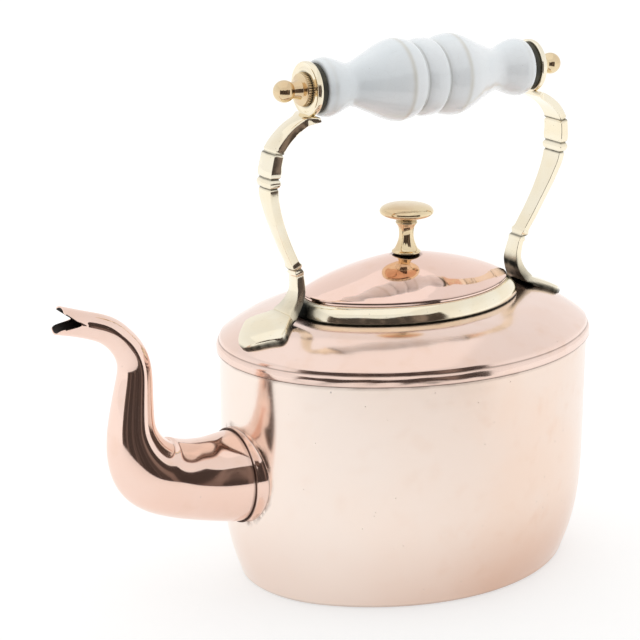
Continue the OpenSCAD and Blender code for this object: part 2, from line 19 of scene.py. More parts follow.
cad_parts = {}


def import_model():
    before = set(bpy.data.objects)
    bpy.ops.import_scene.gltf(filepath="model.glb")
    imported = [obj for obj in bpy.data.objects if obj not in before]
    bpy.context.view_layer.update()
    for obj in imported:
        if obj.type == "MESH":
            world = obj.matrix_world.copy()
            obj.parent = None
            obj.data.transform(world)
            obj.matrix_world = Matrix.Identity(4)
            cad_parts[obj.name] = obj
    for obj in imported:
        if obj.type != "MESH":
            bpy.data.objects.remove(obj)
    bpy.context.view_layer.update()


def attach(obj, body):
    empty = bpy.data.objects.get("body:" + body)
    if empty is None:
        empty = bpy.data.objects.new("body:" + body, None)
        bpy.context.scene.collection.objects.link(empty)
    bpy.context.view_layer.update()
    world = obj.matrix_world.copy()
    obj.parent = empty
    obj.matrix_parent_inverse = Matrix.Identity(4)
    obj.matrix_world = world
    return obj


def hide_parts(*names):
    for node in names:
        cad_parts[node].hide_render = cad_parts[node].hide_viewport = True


MM = 0.001
FULL_TURN = 2.0 * math.pi
CREASE_ANGLE = math.radians(38.0)
WELD_GAP = 0.002 * MM
SLIVER = 0.001 * MM
NO_RINGS = range(0)
ROUND = 96
# The grip's axis, and the outer face and thickness of the eyes that hold its rod.
GRIP_BACK = 8.6
GRIP_Z = 267.2
EYE_X = 71.7
EYE_T = 3.2

log = logging.getLogger("kettle")
Point = tuple[float, float, float]
Pair = tuple[float, float]
Colour = tuple[float, float, float]


class Side(Enum):
    """The two ends of the kettle: the spout's end and the far end."""

    FRONT = -1
    REAR = 1

    @property
    def word(self) -> str:
        """The end's word in piece names."""
        return self.name.lower()


class Body(Enum):
    """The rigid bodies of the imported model."""

    KETTLE = "kettle"
    LID = "lid"
    GRIP = "grip"


class Ends(Enum):
    """What happens at the two ends of a skin of rings."""

    POLES = "poles"
    LOOP = "loop"


# ---------------------------------------------------------------- curves and meshes
def mix(a: float, b: float, share: float) -> float:
    """The value at a share of the way from a to b."""
    return a + (b - a) * share


def smoothstep(low: float, high: float, value: float) -> float:
    """A soft step from 0 at low to 1 at high."""
    t = min(max((value - low) / (high - low), 0.0), 1.0)
    return t * t * (3.0 - 2.0 * t)


def bell(distance: float, width: float) -> float:
    """A bell curve of height 1 that has died away at about two widths."""
    return math.exp(-((distance / width) ** 2))


def smooth_curve(knots: Sequence[Sequence[float]], steps: int) -> list[tuple[float, ...]]:
    """Catmull-Rom curve through a list of knots of any dimension.

    Args:
        knots: The points that the curve passes through.
        steps: Steps between two neighbouring knots.

    Returns:
        The points of the curve, both ends included.
    """
    last = len(knots) - 1
    points: list[tuple[float, ...]] = []
    for i in range(last):
        a, b, c, d = (knots[min(max(i + k, 0), last)] for k in (-1, 0, 1, 2))
        for s in range(steps):
            t = s / steps
            points.append(tuple(
                0.5 * (2 * q + (r - p) * t + (2 * p - 5 * q + 4 * r - u) * t * t
                       + (3 * q - p - 3 * r + u) * t ** 3)
                for p, q, r, u in zip(a, b, c, d)))
    points.append(tuple(float(v) for v in knots[last]))
    return points


def evenly(points: Sequence[Sequence[float]], gap: float, axes: int = 2) -> list[tuple[float, ...]]:
    """Places points again at even distances along their line.

    Args:
        points: The line; its first axes numbers are the place, the rest ride along.
        gap: The wanted distance between neighbours.
        axes: How many of the numbers measure distance.

    Returns:
        The line with even spacing, both ends included.
    """
    reach = [0.0]
    for a, b in zip(points, points[1:]):
        reach.append(reach[-1] + math.dist(a[:axes], b[:axes]))
    count = max(2, round(reach[-1] / gap))
    spaced: list[tuple[float, ...]] = []
    i = 0
    for k in range(count + 1):
        goal = reach[-1] * k / count
        while i < len(reach) - 2 and reach[i + 1] < goal:
            i += 1
        span = reach[i + 1] - reach[i] or 1.0
        share = min(max((goal - reach[i]) / span, 0.0), 1.0)
        spaced.append(tuple(mix(p, q, share) for p, q in zip(points[i], points[i + 1])))
    return spaced


def relaxed(points: Sequence[Sequence[float]], rounds: int) -> list[tuple[float, ...]]:
    """Smooths a line by moving each inner point halfway to the middle of its neighbours.

    Args:
        points: The line, with any numbers that ride along.
        rounds: How many times the line is smoothed.

    Returns:
        The smoothed line; its ends stay.
    """
    line = [tuple(p) for p in points]
    for _ in range(rounds):
        line = [line[0]] + [
            tuple(0.25 * a + 0.5 * b + 0.25 * c for a, b, c in zip(line[i - 1], line[i], line[i + 1]))
            for i in range(1, len(line) - 1)] + [line[-1]]
    return line


class Skin:
    """Points and faces of one piece in millimetres, with marks that its material reads."""

    def __init__(self) -> None:
        """Starts an empty skin."""
        self.points: list[Point] = []
        self.faces: list[tuple[int, ...]] = []
        self.lining: set[int] = set()

    def rings(self, rows: Sequence[Sequence[Point]], ends: Ends, lined: range = NO_RINGS) -> "Skin":
        """Adds a tube through rings of equal length.

        Args:
            rows: The rings, each a closed row of points.
            ends: Whether the tube's ends close in poles or meet each other.
            lined: The rings whose faces towards the next ring take the second material.

        Returns:
            The skin itself.
        """
        count, start = len(rows[0]), len(self.points)
        for row in rows:
            self.points.extend(row)
        pairs = [(i, i + 1) for i in range(len(rows) - 1)]
        if ends is Ends.LOOP:
            pairs.append((len(rows) - 1, 0))
        for i, j in pairs:
            if i in lined:
                self.lining.update(range(len(self.faces), len(self.faces) + count))
            for k in range(count):
                n = (k + 1) % count
                self.faces.append((start + i * count + k, start + i * count + n,
                                   start + j * count + n, start + j * count + k))
        if ends is Ends.POLES:
            for i, row in ((0, rows[0]), (len(rows) - 1, rows[-1])):
                pole = len(self.points)
                self.points.append(tuple(sum(p[axis] for p in row) / count for axis in range(3)))
                for k in range(count):
                    self.faces.append((start + i * count + k, start + i * count + (k + 1) % count, pole))
        return self

    def mesh(self, name: str, marks: dict[str, Callable[[Point], float]] | None = None) -> bpy.types.Mesh:
        """Writes the skin as a clean, closed, smooth mesh in metres.

        Args:
            name: The mesh's name.
            marks: Functions of a point in millimetres, kept as point attributes of these names.

        Returns:
            The mesh.
        """
        work = bmesh.new()
        made = [work.verts.new(tuple(v * MM for v in p)) for p in self.points]
        for i, face in enumerate(self.faces):
            work.faces.new([made[k] for k in face]).material_index = int(i in self.lining)
        bmesh.ops.remove_doubles(work, verts=work.verts, dist=WELD_GAP)
        bmesh.ops.dissolve_degenerate(work, edges=work.edges, dist=SLIVER)
        bmesh.ops.recalc_face_normals(work, faces=work.faces)
        mesh = bpy.data.meshes.new(name)
        work.to_mesh(mesh)
        work.free()
        mesh.shade_smooth()
        mesh.set_sharp_from_angle(angle=CREASE_ANGLE)
        mark_points(mesh, marks or {})
        return mesh


def mark_points(mesh: bpy.types.Mesh, marks: dict[str, Callable[[Point], float]]) -> None:
    """Writes point attributes worked out from each point's place in millimetres.

    Args:
        mesh: The mesh that gets the attributes.
        marks: Functions of a point, by the attribute's name.
    """
    for name, rule in marks.items():
        layer = mesh.attributes.get(name) or mesh.attributes.new(name, "FLOAT", "POINT")
        layer.data.foreach_set("value", [rule(tuple(v.co / MM)) for v in mesh.vertices])


def as_object(name: str, mesh: bpy.types.Mesh) -> bpy.types.Object:
    """Puts a mesh into the scene as an object at the origin."""
    made = bpy.data.objects.new(name, mesh)
    bpy.context.scene.collection.objects.link(made)
    return made


def settled(made: bpy.types.Object) -> bpy.types.Object:
    """Turns an object with modifiers into a plain mesh.

    Args:
        made: The object; its modifiers are used up.

    Returns:
        The same object, with the result as its mesh.
    """
    bpy.context.view_layer.update()
    seen = made.evaluated_get(bpy.context.evaluated_depsgraph_get())
    result = bpy.data.meshes.new_from_object(seen)
    made.modifiers.clear()
    made.data = result
    return made


def combined(first: bpy.types.Object, second: bpy.types.Object, operation: str) -> bpy.types.Object:
    """Joins or cuts two closed solids into one mesh.

    Args:
        first: The object that stays.
        second: The object that is used up.
        operation: UNION or DIFFERENCE.

    Returns:
        The first object.
    """
    cut = first.modifiers.new("join", "BOOLEAN")
    cut.operation, cut.object, cut.solver = operation, second, "EXACT"
    settled(first)
    bpy.data.objects.remove(second)
    first.data.shade_smooth()
    first.data.set_sharp_from_angle(angle=CREASE_ANGLE)
    return first


def round_angles(count: int) -> list[float]:
    """Angles at even steps round a circle."""
    return [FULL_TURN * k / count for k in range(count)]


def turned(profile: Iterable[Pair], centre: Point, side: Side, count: int, ends: Ends) -> Skin:
    """Turns a profile about a line along X.

    Args:
        profile: Points of distance along the line from the centre, and radius.
        centre: A point of the line.
        side: The end that positive distances point to.
        count: Points round each ring.
        ends: What the profile does at its ends.

    Returns:
        The turned skin.
    """
    x, y, z = centre
    rows = [[(x + side.value * reach, y + radius * math.cos(a), z + radius * math.sin(a))
             for a in round_angles(count)] for reach, radius in profile]
    return Skin().rings(rows, ends)


def upright(profile: Iterable[Pair], base: float, count: int, ends: Ends) -> Skin:
    """Turns a profile of radius and height about the upright line through the origin."""
    rows = [[(radius * math.cos(a), radius * math.sin(a), base + height) for a in round_angles(count)]
            for radius, height in profile]
    return Skin().rings(rows, ends)


# ---------------------------------------------------------------- shader building
class Value:
    """A number socket of a node tree that can be used in Python expressions."""

    def __init__(self, desk: "Desk", socket: bpy.types.NodeSocket) -> None:
        """Wraps a socket of a desk's tree."""
        self.desk = desk
        self.socket = socket

    def _with(self, operation: str, *others: "Value | float") -> "Value":
        """Adds a Math node that works on this value and others."""
        return self.desk.node("ShaderNodeMath", {"operation": operation}, {
            i: v for i, v in enumerate((self, *others))})

    def __add__(self, other: "Value | float") -> "Value":
        """self + other."""
        return self._with("ADD", other)

    __radd__ = __add__

    def __mul__(self, other: "Value | float") -> "Value":
        """self * other."""
        return self._with("MULTIPLY", other)

    __rmul__ = __mul__

    def __sub__(self, other: "Value | float") -> "Value":
        """self - other."""
        return self._with("SUBTRACT", other)

    def __rsub__(self, other: float) -> "Value":
        """other - self."""
        return self.desk.node("ShaderNodeMath", {"operation": "SUBTRACT"}, {0: other, 1: self})

    def clamped(self) -> "Value":
        """The value kept between 0 and 1."""
        return self.desk.node("ShaderNodeClamp", {}, {"Value": self})

    def step(self, low: float, high: float) -> "Value":
        """A soft step from 0 at low to 1 at high; low may be the larger."""
        return self.desk.node("ShaderNodeMapRange", {"interpolation_type": "SMOOTHSTEP"}, {
            "Value": self, "From Min": low, "From Max": high})


class Desk:
    """Builds the nodes of one material."""

    def __init__(self, name: str) -> None:
        """Makes a material of this name with one Principled shader."""
        self.material = bpy.data.materials.new(name)
        self.material.use_nodes = True
        self.tree = self.material.node_tree
        self.tree.nodes.clear()
        self.shader = self.tree.nodes.new("ShaderNodeBsdfPrincipled")
        output = self.tree.nodes.new("ShaderNodeOutputMaterial")
        self.tree.links.new(self.shader.outputs[0], output.inputs[0])

    def node(self, kind: str, settings: dict, inputs: dict, out: int | str = 0) -> Value:
        """Adds any node.

        Args:
            kind: The node's type.
            settings: Properties that are set first; a ramp's stops go under "stops".
            inputs: Values or links by the name or number of the socket.
            out: The name or number of the output.

        Returns:
            The chosen output.
        """
        made = self.tree.nodes.new(kind)
        for name, value in settings.items():
            if name == "stops":
                ramp = made.color_ramp
                while len(ramp.elements) < len(value):
                    ramp.elements.new(0.5)
                for element, (place, colour) in zip(ramp.elements, value):
                    element.position, element.color = place, (*colour, 1.0)
            else:
                setattr(made, name, value)
        for name, value in inputs.items():
            self.feed(made.inputs[name], value)
        return Value(self, made.outputs[out])

    def feed(self, socket: bpy.types.NodeSocket, value: object) -> None:
        """Links a value to a socket, or sets the socket to it."""
        if isinstance(value, Value):
            self.tree.links.new(value.socket, socket)
        elif socket.type == "RGBA" and len(value) == 3:
            socket.default_value = (*value, 1.0)
        else:
            socket.default_value = value

    def place(self) -> Value:
        """The point's place in the piece, in metres."""
        return self.node("ShaderNodeTexCoord", {}, {}, "Object")

    def along(self, axis: str) -> Value:
        """The point's place along one axis."""
        return self.node("ShaderNodeSeparateXYZ", {}, {"Vector": self.place()}, axis)

    def stretched(self, scale: Point) -> Value:
        """The point's place with each axis scaled."""
        return self.node("ShaderNodeMapping", {}, {"Vector": self.place(), "Scale": scale})

    def mark(self, name: str) -> Value:
        """A point attribute of the mesh."""
        return self.node("ShaderNodeAttribute", {"attribute_name": name}, {}, "Fac")

    def clouds(self, scale: float, detail: float = 3.0, stretch: Point = (1.0, 1.0, 1.0)) -> Value:
        """Noise from 0 to 1 with a number of blotches per metre."""
        return self.node("ShaderNodeTexNoise", {}, {
            "Vector": self.stretched(stretch), "Scale": scale, "Detail": detail, "Roughness": 0.55})

    def specks(self, scale: float, size: float, kept: float) -> Value:
        """Sparse round specks.

        Args:
            scale: Cells per metre.
            size: The specks' radius as a share of a cell.
            kept: The share of cells that have a speck.

        Returns:
            1 in the specks and 0 elsewhere.
        """
        near, hue = (self.node("ShaderNodeTexVoronoi", {}, {"Vector": self.place(), "Scale": scale}, out)
                     for out in ("Distance", "Color"))
        chance = self.node("ShaderNodeSeparateColor", {}, {"Color": hue}, "Red")
        return near.step(size, size * 0.45) * chance.step(kept + 0.02, kept - 0.02)

    def blend(self, share: Value | float, first: object, second: object, mode: str = "MIX") -> Value:
        """Mixes two colours."""
        made = self.tree.nodes.new("ShaderNodeMix")
        made.data_type, made.blend_type = "RGBA", mode
        self.feed(made.inputs[0], share)
        self.feed(made.inputs[6], first)
        self.feed(made.inputs[7], second)
        return Value(self, made.outputs[2])

    def bump(self, height: Value, depth_mm: float, strength: float = 1.0,
             under: Value | None = None) -> Value:
        """A bump whose height of 1 stands for a depth in millimetres."""
        inputs: dict = {"Height": height, "Distance": depth_mm * MM, "Strength": strength}
        if under is not None:
            inputs["Normal"] = under
        return self.node("ShaderNodeBump", {}, inputs)

    def finish(self, **sockets: object) -> bpy.types.Material:
        """Feeds the Principled shader, a socket's spaces written as underscores."""
        for name, value in sockets.items():
            self.feed(self.shader.inputs[name.replace("_", " ")], value)
        return self.material


@dataclass(frozen=True)
class CopperFinish:
    """Polished copper sheet with clouds of tarnish, rub marks, specks and dark joints, painted shade from its
    darkening mark and at its foot, and a painted highlight towards one end.
    """

    name: str
    light: Colour
    warm: Colour
    gloss: float
    gloss_spread: float = 0.06
    cloud_share: float = 0.5
    speck_share: float = 0.25
    rub_depth: float = 0.004
    wave_depth: float = 0.10
    joint: Colour = (0.07, 0.028, 0.015)
    foot_shade: float = 0.0
    # Strength of a painted highlight that makes the spout's end paler.
    pale_end: float = 0.0

    def build(self) -> bpy.types.Material:
        """Makes the material."""
        desk = Desk(self.name)
        broad = desk.clouds(14.0, 4.0)
        fine = desk.clouds(85.0, 6.0)
        tone = desk.blend(broad.step(0.38, 0.66) * self.cloud_share, self.light, self.warm)
        haze = fine.step(0.50, 0.78) * 0.22
        tone = desk.blend(haze, tone, (0.80, 0.52, 0.36))
        specks = desk.specks(210.0, 0.10, self.speck_share)
        tone = desk.blend(specks * 0.55, tone, (0.22, 0.12, 0.08))
        large = desk.specks(60.0, 0.035, self.speck_share * 1.4)
        tone = desk.blend(large * 0.8, tone, (0.10, 0.06, 0.045))
        if self.foot_shade > 0:
            low = desk.along("Z").step(0.055, 0.004) * self.foot_shade * (0.6 + 0.7 * broad)
            tone = desk.blend(low, tone, (0.62, 0.34, 0.22))
        # Painted highlight: the spout's end is paler, as if it caught more light.
        if self.pale_end > 0:
            tone = desk.blend(desk.along("X").step(0.02, -0.09) * self.pale_end, tone, (0.97, 0.87, 0.80))
        # The darkening mark holds dark joints and tarnish, and on the wall and shoulder also painted shade at
        # the foot, in the bead's crease and round the straps' knees.
        grime = (desk.mark("grime") * (0.75 + 0.6 * fine)).clamped()
        tone = desk.blend(grime, tone, self.joint)
        rubs = desk.clouds(60.0, 8.0, (1.0, 1.0, 9.0))
        rough = self.gloss + (rubs - 0.5) * self.gloss_spread + grime * 0.3 + specks * 0.2 + haze * 0.12
        wave = desk.bump(desk.clouds(22.0, 1.0), self.wave_depth)
        surface = desk.bump(rubs, self.rub_depth, 1.0, wave)
        surface = desk.bump(1 - large, 0.05, 0.6, surface)
        return desk.finish(Base_Color=tone, Metallic=1.0, Roughness=rough, Normal=surface)


@dataclass(frozen=True)
class BrassFinish:
    """Polished brass with pale gold tone, fine scratches, greenish black grime in its corners and painted
    shade along the straps' feet.
    """

    name: str
    light: Colour
    warm: Colour
    gloss: float
    scratch_stretch: Point = (1.0, 1.0, 1.0)
    wave_depth: float = 0.05

    def build(self) -> bpy.types.Material:
        """Makes the material."""
        desk = Desk(self.name)
        broad = desk.clouds(40.0, 4.0)
        fine = desk.clouds(260.0, 5.0)
        tone = desk.blend(broad.step(0.35, 0.7) * 0.7, self.light, self.warm)
        freckles = desk.specks(420.0, 0.13, 0.22)
        tone = desk.blend(freckles * 0.5, tone, (0.20, 0.16, 0.08))
        # The darkening mark holds grime in corners and, on the straps, painted shade along the feet's lower
        # edges.
        grime = (desk.mark("grime") * (0.7 + 0.8 * fine)).clamped()
        tone = desk.blend(grime, tone, (0.014, 0.016, 0.011))
        scratches = desk.clouds(150.0, 8.0, self.scratch_stretch)
        rough = self.gloss + (scratches - 0.5) * 0.10 + grime * 0.45 + fine.step(0.55, 0.8) * 0.08
        surface = desk.bump(desk.clouds(70.0, 1.5), self.wave_depth)
        surface = desk.bump(scratches, 0.003, 1.0, surface)
        surface = desk.bump(grime * fine, 0.15, 0.5, surface)
        return desk.finish(Base_Color=tone, Metallic=1.0, Roughness=rough, Normal=surface)


@dataclass(frozen=True)
class PorcelainFinish:
    """White glazed porcelain with a cool cast, faint amber lines, hair crazing and painted shade in its
    grooves and at its ends.
    """

    name: str
    light: Colour = (0.91, 0.945, 0.965)
    cool: Colour = (0.84, 0.895, 0.925)

    def build(self) -> bpy.types.Material:
        """Makes the material."""
        desk = Desk(self.name)
        tone = desk.blend(desk.clouds(28.0, 3.0).step(0.35, 0.7), self.light, self.cool)
        broken = desk.clouds(120.0, 4.0)
        amber = desk.mark("amber") * (0.55 + 0.8 * broken)
        tone = desk.blend((amber * 0.55).clamped(), tone, (0.56, 0.50, 0.36))
        # Painted shade: the grip's dark lines in its grooves and at its ends.
        dark = (desk.mark("grime") * (0.6 + 0.6 * broken)).clamped()
        tone = desk.blend(dark * 0.8, tone, (0.20, 0.20, 0.19))
        craze = desk.node("ShaderNodeTexVoronoi", {"feature": "DISTANCE_TO_EDGE"}, {
            "Vector": desk.place(), "Scale": 240.0})
        tone = desk.blend(craze.step(0.03, 0.0) * 0.07, tone, (0.42, 0.38, 0.30))
        pits = desk.specks(330.0, 0.06, 0.10)
        tone = desk.blend(pits * 0.6, tone, (0.16, 0.13, 0.10))
        ripple = desk.bump(desk.clouds(48.0, 2.0), 0.10)
        ripple = desk.bump(1 - pits, 0.04, 0.5, ripple)
        return desk.finish(Base_Color=tone, Metallic=0.0, Roughness=0.10 + 0.08 * broken,
                           IOR=1.52, Coat_Weight=0.6, Coat_Roughness=0.06, Normal=ripple)


@dataclass(frozen=True)
class DullFinish:
    """A dull coat or lining: tin, the near-black washer, partly painted shade of its gap, and the spout's
    near-black inside, which is painted shade.
    """

    name: str
    light: Colour
    dark: Colour
    gloss: float
    metallic: float = 0.0
    scale: float = 180.0

    def build(self) -> bpy.types.Material:
        """Makes the material."""
        desk = Desk(self.name)
        patch = desk.clouds(self.scale, 6.0)
        tone = desk.blend(patch.step(0.35, 0.7), self.light, self.dark)
        surface = desk.bump(patch, 0.02)
        return desk.finish(Base_Color=tone, Metallic=self.metallic, Roughness=self.gloss + 0.15 * patch,
                           Normal=surface)


def made_by(finish: CopperFinish | BrassFinish | PorcelainFinish | DullFinish) -> bpy.types.Material:
    """A field whose material is made when the finishes are."""
    return field(default_factory=finish.build)


@dataclass
class Finishes:
    """All the finishes of the kettle, made once."""

    copper_body: bpy.types.Material = made_by(CopperFinish(
        "copper_body", (0.87, 0.72, 0.63), (0.88, 0.68, 0.56), 0.15, 0.07, 0.6, 0.30, 0.004, 0.10,
        foot_shade=0.5, pale_end=0.6))
    copper_shoulder: bpy.types.Material = made_by(CopperFinish(
        "copper_shoulder", (0.89, 0.70, 0.62), (0.87, 0.63, 0.52), 0.15, 0.06, 0.5, 0.18, 0.003, 0.14))
    copper_spout: bpy.types.Material = made_by(CopperFinish(
        "copper_spout", (0.92, 0.70, 0.61), (0.90, 0.62, 0.50), 0.075, 0.04, 0.5, 0.14, 0.002, 0.22))
    copper_lid: bpy.types.Material = made_by(CopperFinish(
        "copper_lid", (0.91, 0.69, 0.61), (0.90, 0.62, 0.51), 0.07, 0.04, 0.5, 0.10, 0.002, 0.12))
    copper_base: bpy.types.Material = made_by(CopperFinish(
        "copper_base", (0.58, 0.34, 0.24), (0.36, 0.18, 0.12), 0.42, 0.16, 0.9, 0.4, 0.01, 0.10))
    brass_cast: bpy.types.Material = made_by(BrassFinish(
        "brass_cast", (0.93, 0.86, 0.70), (0.90, 0.78, 0.56), 0.10, (1.0, 1.0, 1.0), 0.09))
    brass_turned: bpy.types.Material = made_by(BrassFinish(
        "brass_turned", (0.84, 0.70, 0.46), (0.66, 0.46, 0.27), 0.085, (1.0, 1.0, 6.0), 0.03))
    brass_dull: bpy.types.Material = made_by(BrassFinish(
        "brass_dull", (0.62, 0.48, 0.26), (0.48, 0.34, 0.17), 0.34))
    porcelain: bpy.types.Material = made_by(PorcelainFinish("grip_porcelain"))
    # Near-black washer: its own dark tone and painted shade of the gap beside the grip.
    black: bpy.types.Material = made_by(DullFinish(
        "black_washer", (0.030, 0.028, 0.018), (0.075, 0.070, 0.042), 0.5))
    # Painted shade: the spout's inside is near-black, not tin.
    soot: bpy.types.Material = made_by(DullFinish(
        "dark_lining", (0.020, 0.016, 0.014), (0.045, 0.034, 0.028), 0.55))
    tin: bpy.types.Material = made_by(DullFinish(
        "tin_lining", (0.42, 0.41, 0.39), (0.24, 0.23, 0.21), 0.38, 0.9, 70.0))


@dataclass(frozen=True)
class Piece:
    """How a finished mesh enters the model."""

    name: str
    body: Body
    slot: str
    nodes: tuple[str, ...] = ()

    def skinned(self, skin: Skin, marks: dict[str, Callable[[Point], float]],
                *materials: bpy.types.Material) -> bpy.types.Object:
        """Makes the piece straight from a skin with its marks."""
        return self.enter(as_object(self.name, skin.mesh(self.name, marks)), *materials)

    def enter(self, made: bpy.types.Object, *materials: bpy.types.Material) -> bpy.types.Object:
        """Names and dresses an object and hangs it on its body.

        Args:
            made: The finished object.
            *materials: Its materials, in the order of its slots.

        Returns:
            The object.
        """
        made.name = made.data.name = self.name
        for material in materials[len(made.data.materials):]:
            made.data.materials.append(material)
        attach(made, self.body.value)
        if self.nodes:
            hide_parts(*self.nodes)
        log.info("%s: %d faces on %s", self.name, len(made.data.polygons), self.body.value)
        return made


# ---------------------------------------------------------------- the rim oval
@dataclass(frozen=True)
class Oval:
    """The four-arc oval that every outline is parallel to."""

    half_l: float = 106.0
    unit: float = 1.79
    count: int = 256

    @property
    def end_c(self) -> float:
        """Distance of an end arc's centre from the middle."""
        return 20 * self.unit

    @property
    def side_c(self) -> float:
        """Distance of a side arc's centre beyond the middle."""
        return 21 * self.unit

    @property
    def end_r(self) -> float:
        """Radius of the end arcs."""
        return self.half_l - self.end_c

    @property
    def side_r(self) -> float:
        """Radius of the side arcs."""
        return self.end_r + 29 * self.unit

    def facing(self, angle: float, offset: float) -> Pair:
        """The point of a parallel whose outward direction has an angle.

        Args:
            angle: Direction of the normal, from +X towards +Y.
            offset: Distance outside the rim.

        Returns:
            X and Y.
        """
        c, s = math.cos(angle), math.sin(angle)
        if abs(s) * 20 <= abs(c) * 21:
            r = self.end_r + offset
            return (math.copysign(self.end_c, c) + r * c, r * s)
        r = self.side_r + offset
        return (r * c, r * s - math.copysign(self.side_c, s))

    def angles(self) -> list[float]:
        """Normals' angles at nearly even distances round the rim."""
        join = math.atan2(21, 20)
        end, flank = self.end_r * join, self.side_r * (math.pi / 2 - join)
        quarter = end + flank
        found = []
        for k in range(self.count):
            lap, rest = divmod(4 * quarter * k / self.count, quarter)
            rest = rest if lap % 2 == 0 else quarter - rest
            a = rest / self.end_r if rest <= end else join + (rest - end) / self.side_r
            found.append(lap // 2 * math.pi + (a if lap % 2 == 0 else math.pi - a))
        return found

    def offset_of(self, x: float, y: float) -> float:
        """How far a point lies outside the rim, negative inside it."""
        ax, ay = abs(x), abs(y)
        if ax > self.end_c and ay * 20 <= (ax - self.end_c) * 21:
            return math.hypot(ax - self.end_c, ay) - self.end_r
        return math.hypot(ax, ay + self.side_c) - self.side_r

    def swept(self, profile: Sequence[Pair], lined: range = NO_RINGS) -> Skin:
        """Sweeps a closed profile of offset and height round the oval, partly lined."""
        angles = self.angles()
        return Skin().rings([[(*self.facing(a, offset), height) for a in angles]
                             for offset, height in profile], Ends.LOOP, lined)


RIM = Oval()


@dataclass
class Vessel:
    """The copper can: wall, base, shoulder with its seam band, and the brass ring round the mouth."""

    finishes: Finishes
    seam_z: float = 125.2
    sheet: float = 1.2
    step_in: float = 0.9
    lean: float = 1.0
    tuck: float = 10.5
    tuck_z: float = 70.0
    corner_r: float = 3.0
    lap: float = 8.0
    shoulder_fold: float = 130.6
    shoulder_inner: float = 46.9
    ring_drop: float = 5.0
    wall_top: float = 130.5
    wall_spread: float = 1.35
    seat_z: float = 146.3
    rise: float = 13.4
    power: float = 2.3
    ring_inset: float = 39.5
    wall_rows: int = 46
    spout_z: float = 66.0
    spout_hole: float = 24.45

    def wall_offset(self, z: float) -> float:
        """The wall's offset at a height."""
        below = max(0.0, (self.tuck_z - z) / self.tuck_z)
        return -self.step_in - self.lean * (self.seam_z - z) / self.seam_z - self.tuck * below ** 3

    def shoulder_z(self, offset: float) -> float:
        """The shoulder's height at an offset."""
        start = self.ring_inset - 1.5
        share = min(max((start + offset) / (start - self.step_in), 0.0), 1.0)
        return self.seat_z - self.rise * share ** self.power

    def wall(self) -> bpy.types.Object:
        """The oval wall with its tucked foot and the flange under the base."""
        corner = self.wall_offset(self.corner_r) - self.corner_r
        heights = [mix(self.corner_r, self.wall_top, (i / self.wall_rows) ** self.wall_spread)
                   for i in range(self.wall_rows + 1)]
        bends = [math.radians(a) for a in range(-90, 0, 10)]
        outer, inner = (
            [(corner + (self.corner_r - t) * math.cos(a), self.corner_r + (self.corner_r - t) * math.sin(a))
             for a in bends] + [(self.wall_offset(min(z, self.seam_z)) - t, z) for z in heights]
            for t in (0.0, self.sheet))
        profile = [(corner - self.lap, 0.0)] + outer + inner[::-1] + [(corner - self.lap, self.sheet)]
        lined = range(len(outer) + 1, len(profile) - 1)
        made = as_object("wall", RIM.swept(profile, lined).mesh("wall"))
        bore = turned([(-8.0, self.spout_hole), (24.0, self.spout_hole)],
                      (-98.0, 0.0, self.spout_z), Side.FRONT, ROUND, Ends.POLES)
        combined(made, as_object("bore", bore.mesh("bore")), "DIFFERENCE")
        mark_points(made.data, {"grime": self.wall_grime})
        return Piece("body_shell", Body.KETTLE, "copper_body", ("body_wall",)).enter(
            made, self.finishes.copper_body, self.finishes.tin)

    def wall_grime(self, p: Point) -> float:
        """Dark joints under the seam and round the spout's collar, and painted shade at the very foot."""
        ragged = 0.55 + 0.9 * max(0.0, noise.noise(Vector(p) * 0.11))
        seam = ragged * smoothstep(self.seam_z - 1.5, self.seam_z - 0.3, p[2])
        halo = 0.0
        if p[0] < -70:
            halo = 0.5 * bell(math.hypot(p[1], p[2] - self.spout_z) - 26.0, 0.7)
        # Painted shade where the wall's foot meets the floor.
        foot = 0.35 * smoothstep(2.2, 0.3, p[2])
        return min(1.0, max(seam, halo, foot))

    def shoulder(self) -> bpy.types.Object:
        """The shoulder, with the folded bead and the rolled edge above it."""
        start = self.ring_inset - 1.5
        edge = smooth_curve([
            (-self.step_in, self.seam_z), (-0.2, 125.15), (0.5, 125.35), (0.78, 125.9), (0.80, 127.9),
            (0.70, 128.8), (0.42, 129.7), (-0.02, 130.4), (-0.42, 130.8), (-0.66, 131.2), (-0.80, 131.8),
            (-1.0, 132.4)], 4)
        rows = 40
        top = [mix(-1.2, -start, i / rows) for i in range(rows + 1)]
        surface = [(o, self.shoulder_z(o) - 0.05 * smoothstep(-3.0, -1.2, o)) for o in top]
        inside = [(o - 0.2, self.shoulder_z(o) - self.sheet) for o in reversed(top[2:])]
        closing = [(-self.shoulder_inner, self.seat_z - drop) for drop in (0.1, self.sheet)]
        lining = [(-self.step_in - self.sheet, self.shoulder_fold), (-self.step_in, self.shoulder_fold)]
        upper = len(edge) + len(surface) + len(closing)
        skin = RIM.swept(edge + surface + closing + inside + lining, range(upper, upper + len(inside)))
        skin.points = [self.beaten(p) for p in skin.points]
        return Piece("shoulder_shell", Body.KETTLE, "copper_shoulder", ("shoulder",)).skinned(
            skin, {"grime": self.shoulder_grime}, self.finishes.copper_shoulder, self.finishes.tin)

    def beaten(self, p: Point) -> Point:
        """Gives the sheet and its bead the faint unevenness of hand work."""
        offset = RIM.offset_of(p[0], p[1])
        if offset > -0.55 and p[2] > 125.4:
            sway = 1.0 + 0.0022 * noise.noise(Vector((p[0] * 0.09, p[1] * 0.09, p[2] * 0.35)))
            return (p[0] * sway, p[1] * sway, p[2] + 0.10 * noise.noise(Vector(p) * 0.16))
        share = smoothstep(-39.0, -33.0, offset) * smoothstep(-1.5, -6.0, offset)
        lift = 0.16 * share * noise.noise(Vector(p) * 0.045)
        return (p[0], p[1], p[2] + lift)

